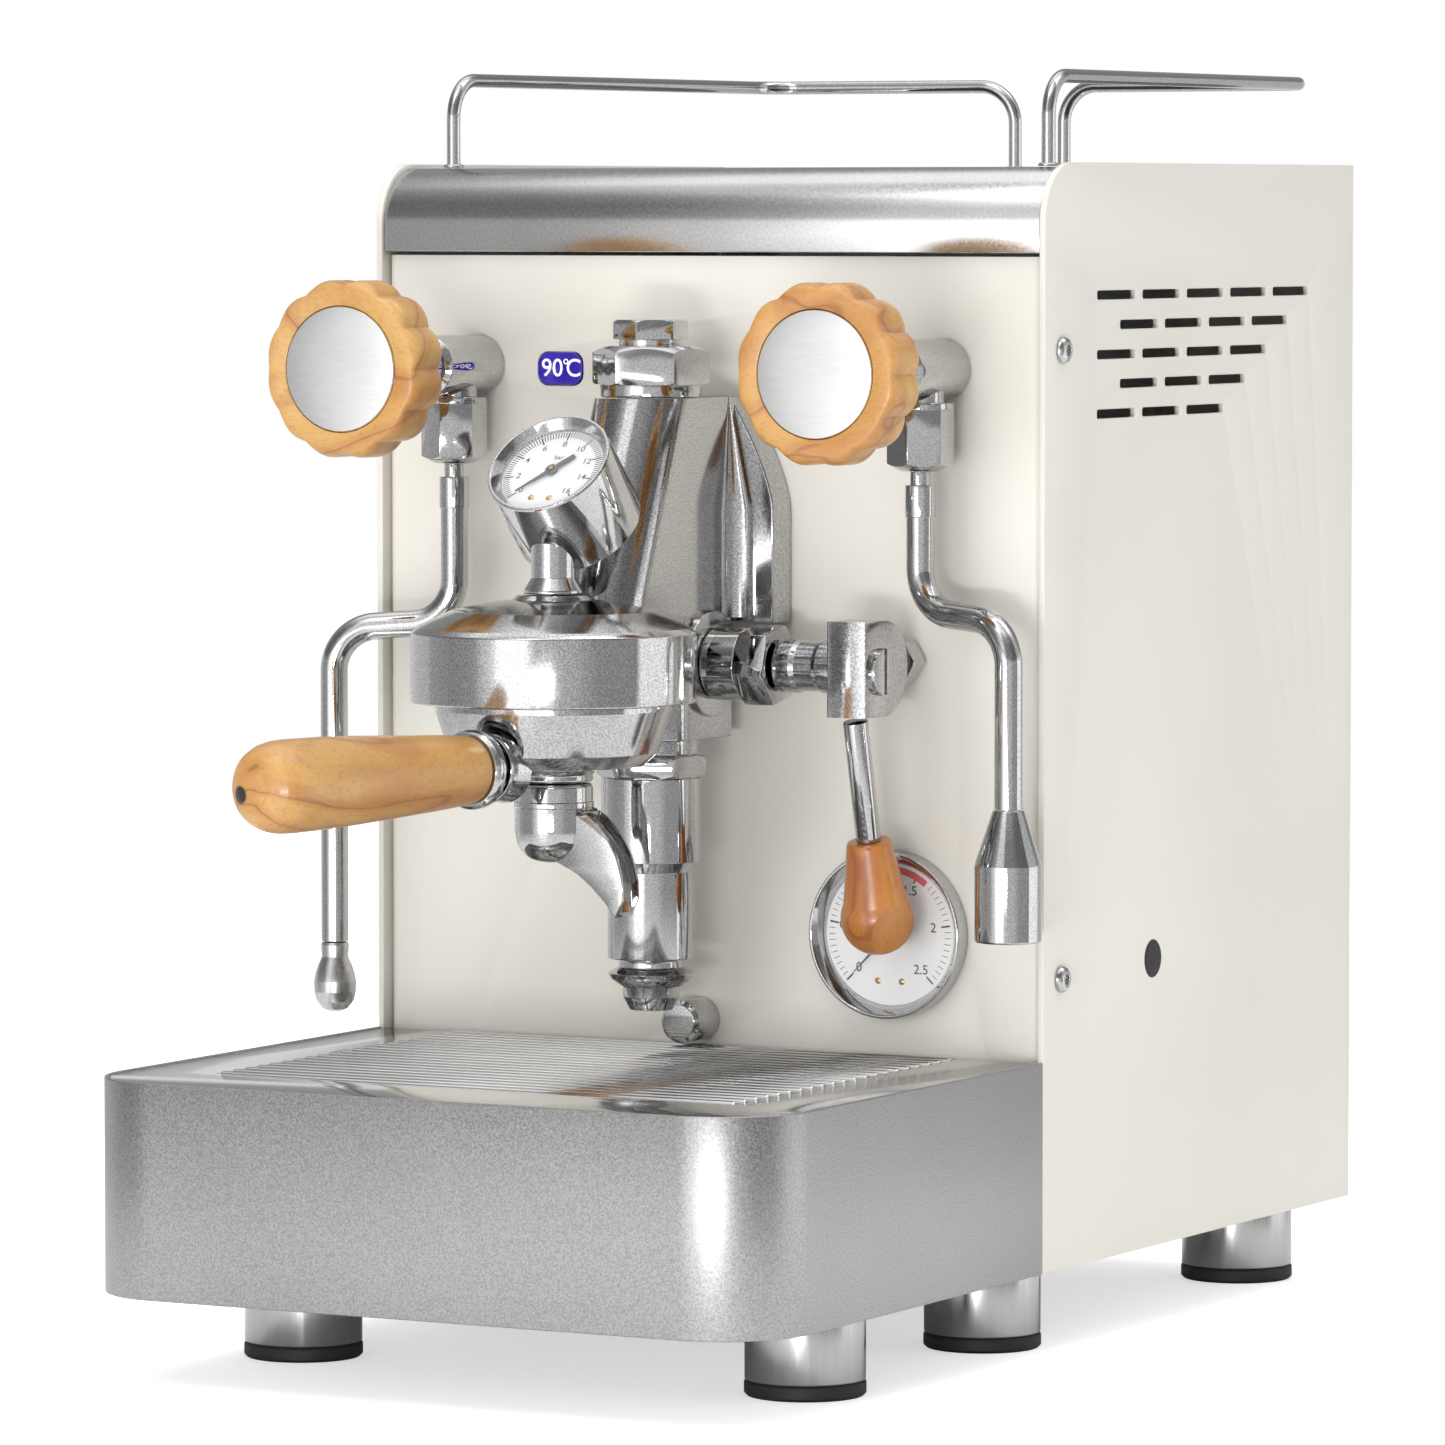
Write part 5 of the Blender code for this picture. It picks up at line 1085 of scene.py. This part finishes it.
def makeTapKnob(name, side, finish):
    # a turned wooden wheel with scallops cut round its edge and a spun steel disc let into its face
    t = taps
    sides, lobes, wide = 16 * t["lobes"], t["lobes"], t["knobRadius"]
    rings = [(0.0214, 0.0, 0.0024), (0.0214, 0.0, 0.0003), (0.0218, 0.0, 0.0)]
    for step in range(9):
        a = step / 8 * pi / 2
        rings.append((0.0268 + (wide - 0.0268) * math.sin(a), 0.0024 * math.sin(a) ** 2, 0.0050 * (1 - math.cos(a))))
    rings += [(wide, 0.0024, 0.0080), (wide, 0.0024, 0.0110), (wide, 0.0024, 0.0145)]
    for step in range(1, 9):
        a = step / 8 * pi / 2
        rings.append((0.0240 + (wide - 0.0240) * math.cos(a), 0.0024 * (0.4 + 0.6 * math.cos(a)),
                      0.0145 + (t["knobDepth"] - 0.0145) * math.sin(a)))
    rings += [(0.0085, 0.0, t["knobDepth"]), (0.0080, 0.0, t["knobDepth"] + 0.0048)]
    shape = bmesh.new()
    loops = []
    for radius, depth, y in rings:
        loop = []
        for i in range(sides):
            angle = 2 * pi * i / sides
            wave = abs(math.sin(lobes * angle / 2)) ** 0.85
            r = radius - depth * (1 - wave)
            loop.append(shape.verts.new((r * math.cos(angle), y, r * math.sin(angle))))
        loops.append(loop)
    for first, second in zip(loops, loops[1:]):
        for i in range(sides):
            j = (i + 1) % sides
            shape.faces.new((first[i], first[j], second[j], second[i]))
    shape.faces.new(loops[0])
    shape.faces.new(loops[-1])
    at = stand(side * t["x"], t["knobFront"], t["z"])
    fit(name + "Knob", asMesh(shape, 38), finish, name + "_knob", [name + "_knob"], at)
    cap = turnedMesh([(0, 0.0008), (0.006, 0.00076), (0.012, 0.00062), (0.018, 0.00034), (t["disc"] - 0.0004, 0.0001),
                      (t["disc"], -0.0004), (t["disc"], -0.0019), (0, -0.0019)], 128, 0)
    fit(name + "KnobDisc", cap, discSteel, name + "_knob", [name + "_knob_cap"], at @ towardsFront)


def makeWand(name, side, bendZ, low, body, node):
    t = taps
    x, y, nutLow = side * t["x"], t["wandY"], t["nutLow"]
    outX, outY = side * (t["x"] + t["out"]), y - t["forward"]
    route = bent([place(x, y, nutLow - 0.0048), place(x, y, bendZ + 0.0015), place(outX, outY, bendZ - 0.0015),
                  place(outX, outY, low)], t["bend"], 20)
    tube = tubeMesh(route, t["wand"], 10)
    neck = turnedMesh([(0, nutLow - 0.0003), (0.0034, nutLow - 0.0003), (0.0034, nutLow - 0.0060),
                       (0, nutLow - 0.0060)], 48, 0.0002)
    collar = turnedMesh([(0, nutLow - 0.0047), (0.0051, nutLow - 0.0047), (0.0051, nutLow - 0.0155),
                         (0, nutLow - 0.0155)], 64, 0.0003)
    parts = [(tube, Matrix.Identity(4)), (neck, stand(x, y, 0)), (collar, stand(x, y, 0))]
    fit(name, joined(parts), chromePlate, body, [node])
    return outX, outY


def makeWands():
    steamX, steamY = makeWand("steamWand", -1, 0.2420, 0.1325, "steam_wand", "steam_wand")
    top, low = 0.1322, 0.1078
    tip = turnedMesh([(0, top), (0.0049, top), (0.0046, top - 0.0052), (0.0058, top - 0.0080), (0.0068, top - 0.0110),
                      (0.0073, low + 0.0107), (0.0072, low + 0.0070), (0.0064, low + 0.0038), (0.0044, low + 0.0012),
                      (0.0020, low + 0.0002), (0, low)], 72, 0.0012)
    fit("steamTip", tip, satinSteel, "steam_wand", ["steam_tip"], stand(steamX, steamY, 0))
    waterX, waterY = makeWand("waterWand", 1, 0.2500, 0.1871, "water_wand", "water_wand")
    top, low = 0.1868, 0.1430
    nozzle = turnedMesh([(0, top), (0.0052, top), (0.0108, top - 0.0168), (0.0112, top - 0.0183),
                         (0.0112, low + 0.0005), (0.0106, low), (0.0095, low), (0.0095, low + 0.0190), (0, low + 0.0190)],
                        96, 0.0004)
    fit("waterNozzle", nozzle, chromePlate, "water_wand", ["water_nozzle"], stand(waterX, waterY, 0))


makeTap("steam", -1)
makeTap("water", 1)
makeTapKnob("steam", -1, steamKnobWood)
makeTapKnob("water", 1, waterKnobWood)
makeWands()
print("taps and wands are dressed")


# gauges and display
def words(text, size, at):
    # flat lettering as a mesh, centred on a point of the dial
    font = bpy.data.curves.new("words", "FONT")
    font.body, font.size = text, size
    font.align_x, font.align_y = "CENTER", "CENTER"
    font.offset = size * 0.006
    mesh = bakedMesh(loose(font))
    return mesh, move((at[0], at[1], 0))


def strip(inner, outer, first, last, steps=1):
    # part of a flat ring, in degrees
    shape = bmesh.new()
    rows = []
    for i in range(steps + 1):
        a = math.radians(first + (last - first) * i / steps)
        rows.append([shape.verts.new((r * math.cos(a), r * math.sin(a), 0)) for r in (inner, outer)])
    for a, b in zip(rows, rows[1:]):
        shape.faces.new((a[0], a[1], b[1], b[0]))
    return asMesh(shape), Matrix.Identity(4)


def makeDial(name, at, radius, behind, scale, finish):
    # zero is at lower left, full scale at lower right
    flat = at @ move((0, 0, -behind + 0.0001))
    plate = turnedMesh([(0, 0), (radius, 0), (radius, -0.0004), (0, -0.0004)], 96, 0)
    fit(name + "Dial", plate, finish, "root", (), flat @ move((0, 0, 0.0001)))
    marks = []
    count = scale["ticks"]
    for i in range(count + 1):
        angle = 225 - 270 * i / count
        long = i % scale["every"] == 0
        reach = scale["long"] if long else scale["short"]
        half = math.degrees((scale["thick"] if long else scale["thin"]) / radius / 2)
        marks.append(strip(scale["edge"] - reach, scale["edge"], angle - half, angle + half))
    for value, text in scale["numbers"]:
        angle = math.radians(225 - 270 * value)
        out = scale["numberAt"]
        marks.append(words(text, scale["size"], (out * math.cos(angle), out * math.sin(angle))))
    marks += [words(*extra) for extra in scale["words"]]
    fit(name + "DialMarks", joined(marks), dialInk, "root", (), flat @ move((0, 0, 0.00016)))
    screw = turnedMesh([(0, 0.0004), (0.0008, 0.0003), (0.0011, 0.0001), (0.0011, 0), (0, 0)], 24, 0)
    heads = [(screw, move((x, y, 0))) for x, y in scale["screws"]]
    fit(name + "DialScrews", joined(heads), brass, "root", (), flat @ move((0, 0, 0.0001)))


def makeNeedle(name, body, at, height, reach, tail, wide, hub):
    zero = math.radians(225)
    shape = bmesh.new()
    rows = ((reach, 0.12), (reach * 0.55, 0.55), (0, 1.0), (-tail * 0.55, 1.25), (-tail, 1.1))
    corners = ((1, -0.0003), (1, 0.0003), (-1, 0.0003), (-1, -0.0003))
    rings = [[shape.verts.new((along, side * wide * k / 2, z)) for side, z in corners] for along, k in rows]
    for a, b in zip(rings, rings[1:]):
        for i in range(4):
            j = (i + 1) % 4
            shape.faces.new((a[i], a[j], b[j], b[i]))
    shape.faces.new(rings[0])
    shape.faces.new(rings[-1])
    hand = asMesh(shape)
    boss = turnedMesh([(0, 0.0006), (hub * 0.6, 0.0006), (hub, 0.0003), (hub, -0.0004), (0, -0.0004)], 48, 0.0001)
    pin = turnedMesh([(0, 0.0010), (hub * 0.35, 0.0009), (hub * 0.35, 0.0004), (0, 0.0004)], 32, 0)
    there = at @ move((0, 0, -height))
    fit(name, joined([(hand, Matrix.Rotation(zero, 4, "Z")), (boss, Matrix.Identity(4))]), needleGrey, body,
        [body], there)
    fit(name + "Pin", pin, brass, body, (), there)


def makeGlassDisc(name, at, radius, behind):
    mesh = turnedMesh([(0, 0), (radius, 0), (radius, -0.0008), (0, -0.0008)], 96, 0.0002)
    fit(name, mesh, gaugeGlass, "root", (), at @ move((0, 0, -behind)))


def gaugeCase(radius, depth, floor, bezel):
    # a turned can with a thin bright lip and a bezel that slopes down to the dial
    return turnedMesh([(0, -floor), (radius - bezel, -floor), (radius - bezel + 0.0002, -floor + 0.0012),
                       (radius - 0.0016, -0.0006), (radius - 0.0012, 0), (radius - 0.0003, 0), (radius, -0.0008),
                       (radius, -depth), (0, -depth)], 144, 0.0003)


boilerGauge = {"at": (0.0712, -0.0045, 0.141), "radius": 0.0285, "depth": 0.0072, "dialDepth": 0.0055, "bezel": 0.0042,
               "dial": 0.0242, "red": (52, 84)}
pumpGauge = {"at": (0, -0.107, 0.302), "tilt": 45.4, "radius": 0.0215, "length": 0.030, "dialDepth": 0.0045,
             "bezel": 0.0036, "dial": 0.0178}


def makeBoilerGauge():
    b = boilerGauge
    at = stand(*b["at"]) @ towardsFront
    radius = b["radius"]
    fit("boilerGaugeCase", gaugeCase(radius, b["depth"], b["dialDepth"], b["bezel"]), chromePlate, "root",
        ["boiler_gauge"], at)
    can = turnedMesh([(0, -0.0071), (radius - 0.0027, -0.0071), (radius - 0.0027, -0.030), (0, -0.030)], 96, 0.0006)
    fit("boilerGaugeCan", can, satinSteel, "root", (), at)
    marks = {"ticks": 50, "every": 10, "edge": 0.0230, "long": 0.0034, "short": 0.0022, "thick": 0.00070,
             "thin": 0.00026, "size": 0.0046, "numberAt": 0.0166, "screws": ((-0.0045, -0.0160), (0.0045, -0.0160)),
             "numbers": ((0, "0"), (0.2, "0.5"), (0.4, "1"), (0.6, "1.5"), (0.8, "2"), (1.0, "2.5")),
             "words": (("bar", 0.0032, (0, 0.0075)),)}
    makeDial("boiler", at, b["dial"], b["dialDepth"], marks, dialWhite)
    red = strip(0.0208, 0.0231, *b["red"], 16)
    fit("boilerDialRed", red[0], dialRed, "root", (), at @ move((0, 0, -0.00517)))
    makeNeedle("boilerNeedle", "boiler_gauge_needle", at, 0.0042, 0.0190, 0.0085, 0.0013, 0.0030)
    makeGlassDisc("boilerGaugeGlass", at, radius - 0.0032, 0.0024)


def makePumpGauge():
    p = pumpGauge
    at = stand(*p["at"]) @ Matrix.Rotation(math.radians(p["tilt"]), 4, "X")
    case = gaugeCase(p["radius"], p["length"], p["dialDepth"], p["bezel"])
    stem = turnedMesh([(0, 0.2850), (0.0074, 0.2850), (0.0074, 0.2640), (0.0098, 0.2600), (0.0100, 0.2587),
                       (0, 0.2587)], 72, 0.0006)
    fit("pumpGaugeCase", joined([(case, at), (stem, stand(0, group["bellY"], 0))], 40), chromePlate, "root",
        ["pump_gauge"])
    marks = {"ticks": 80, "every": 10, "edge": 0.0175, "long": 0.0036, "short": 0.0024, "thick": 0.00062,
             "thin": 0.00036, "size": 0.0034, "numberAt": 0.0121, "screws": ((-0.0034, -0.0118), (0.0034, -0.0118)),
             "numbers": tuple((i / 8, str(2 * i)) for i in range(9)),
             "words": (("bar", 0.0026, (0, 0.0062)),)}
    makeDial("pump", at, p["dial"], p["dialDepth"], marks, pumpWhite)
    makeNeedle("pumpNeedle", "pump_gauge_needle", at, 0.0034, 0.0140, 0.0090, 0.0014, 0.0022)
    makeGlassDisc("pumpGaugeGlass", at, p["radius"] - 0.0029, 0.0020)


display = {"at": (-0.0576, 0.3304), "size": (0.0174, 0.0111), "corner": 0.0042}


def makeDisplay():
    x, z = display["at"]
    plate = sheetMesh([roundedBox((x, z), display["size"], display["corner"], 12)], -0.0120, -0.0026, 0.0003)
    fit("displayWindow", plate, displayBlue, "root", ["display"], stand(0, 0, 0) @ towardsFront)
    parts = [words("90", 0.0086, (x - 0.0030, z)), words("°", 0.0070, (x + 0.0024, z + 0.0004)),
             words("C", 0.0086, (x + 0.0054, z))]
    fit("displayDigits", joined(parts), displayLit, "root", (),
        stand(0, 0.00255, 0) @ towardsFront)


makeBoilerGauge()
makePumpGauge()
makeDisplay()
print("gauges and display are dressed")
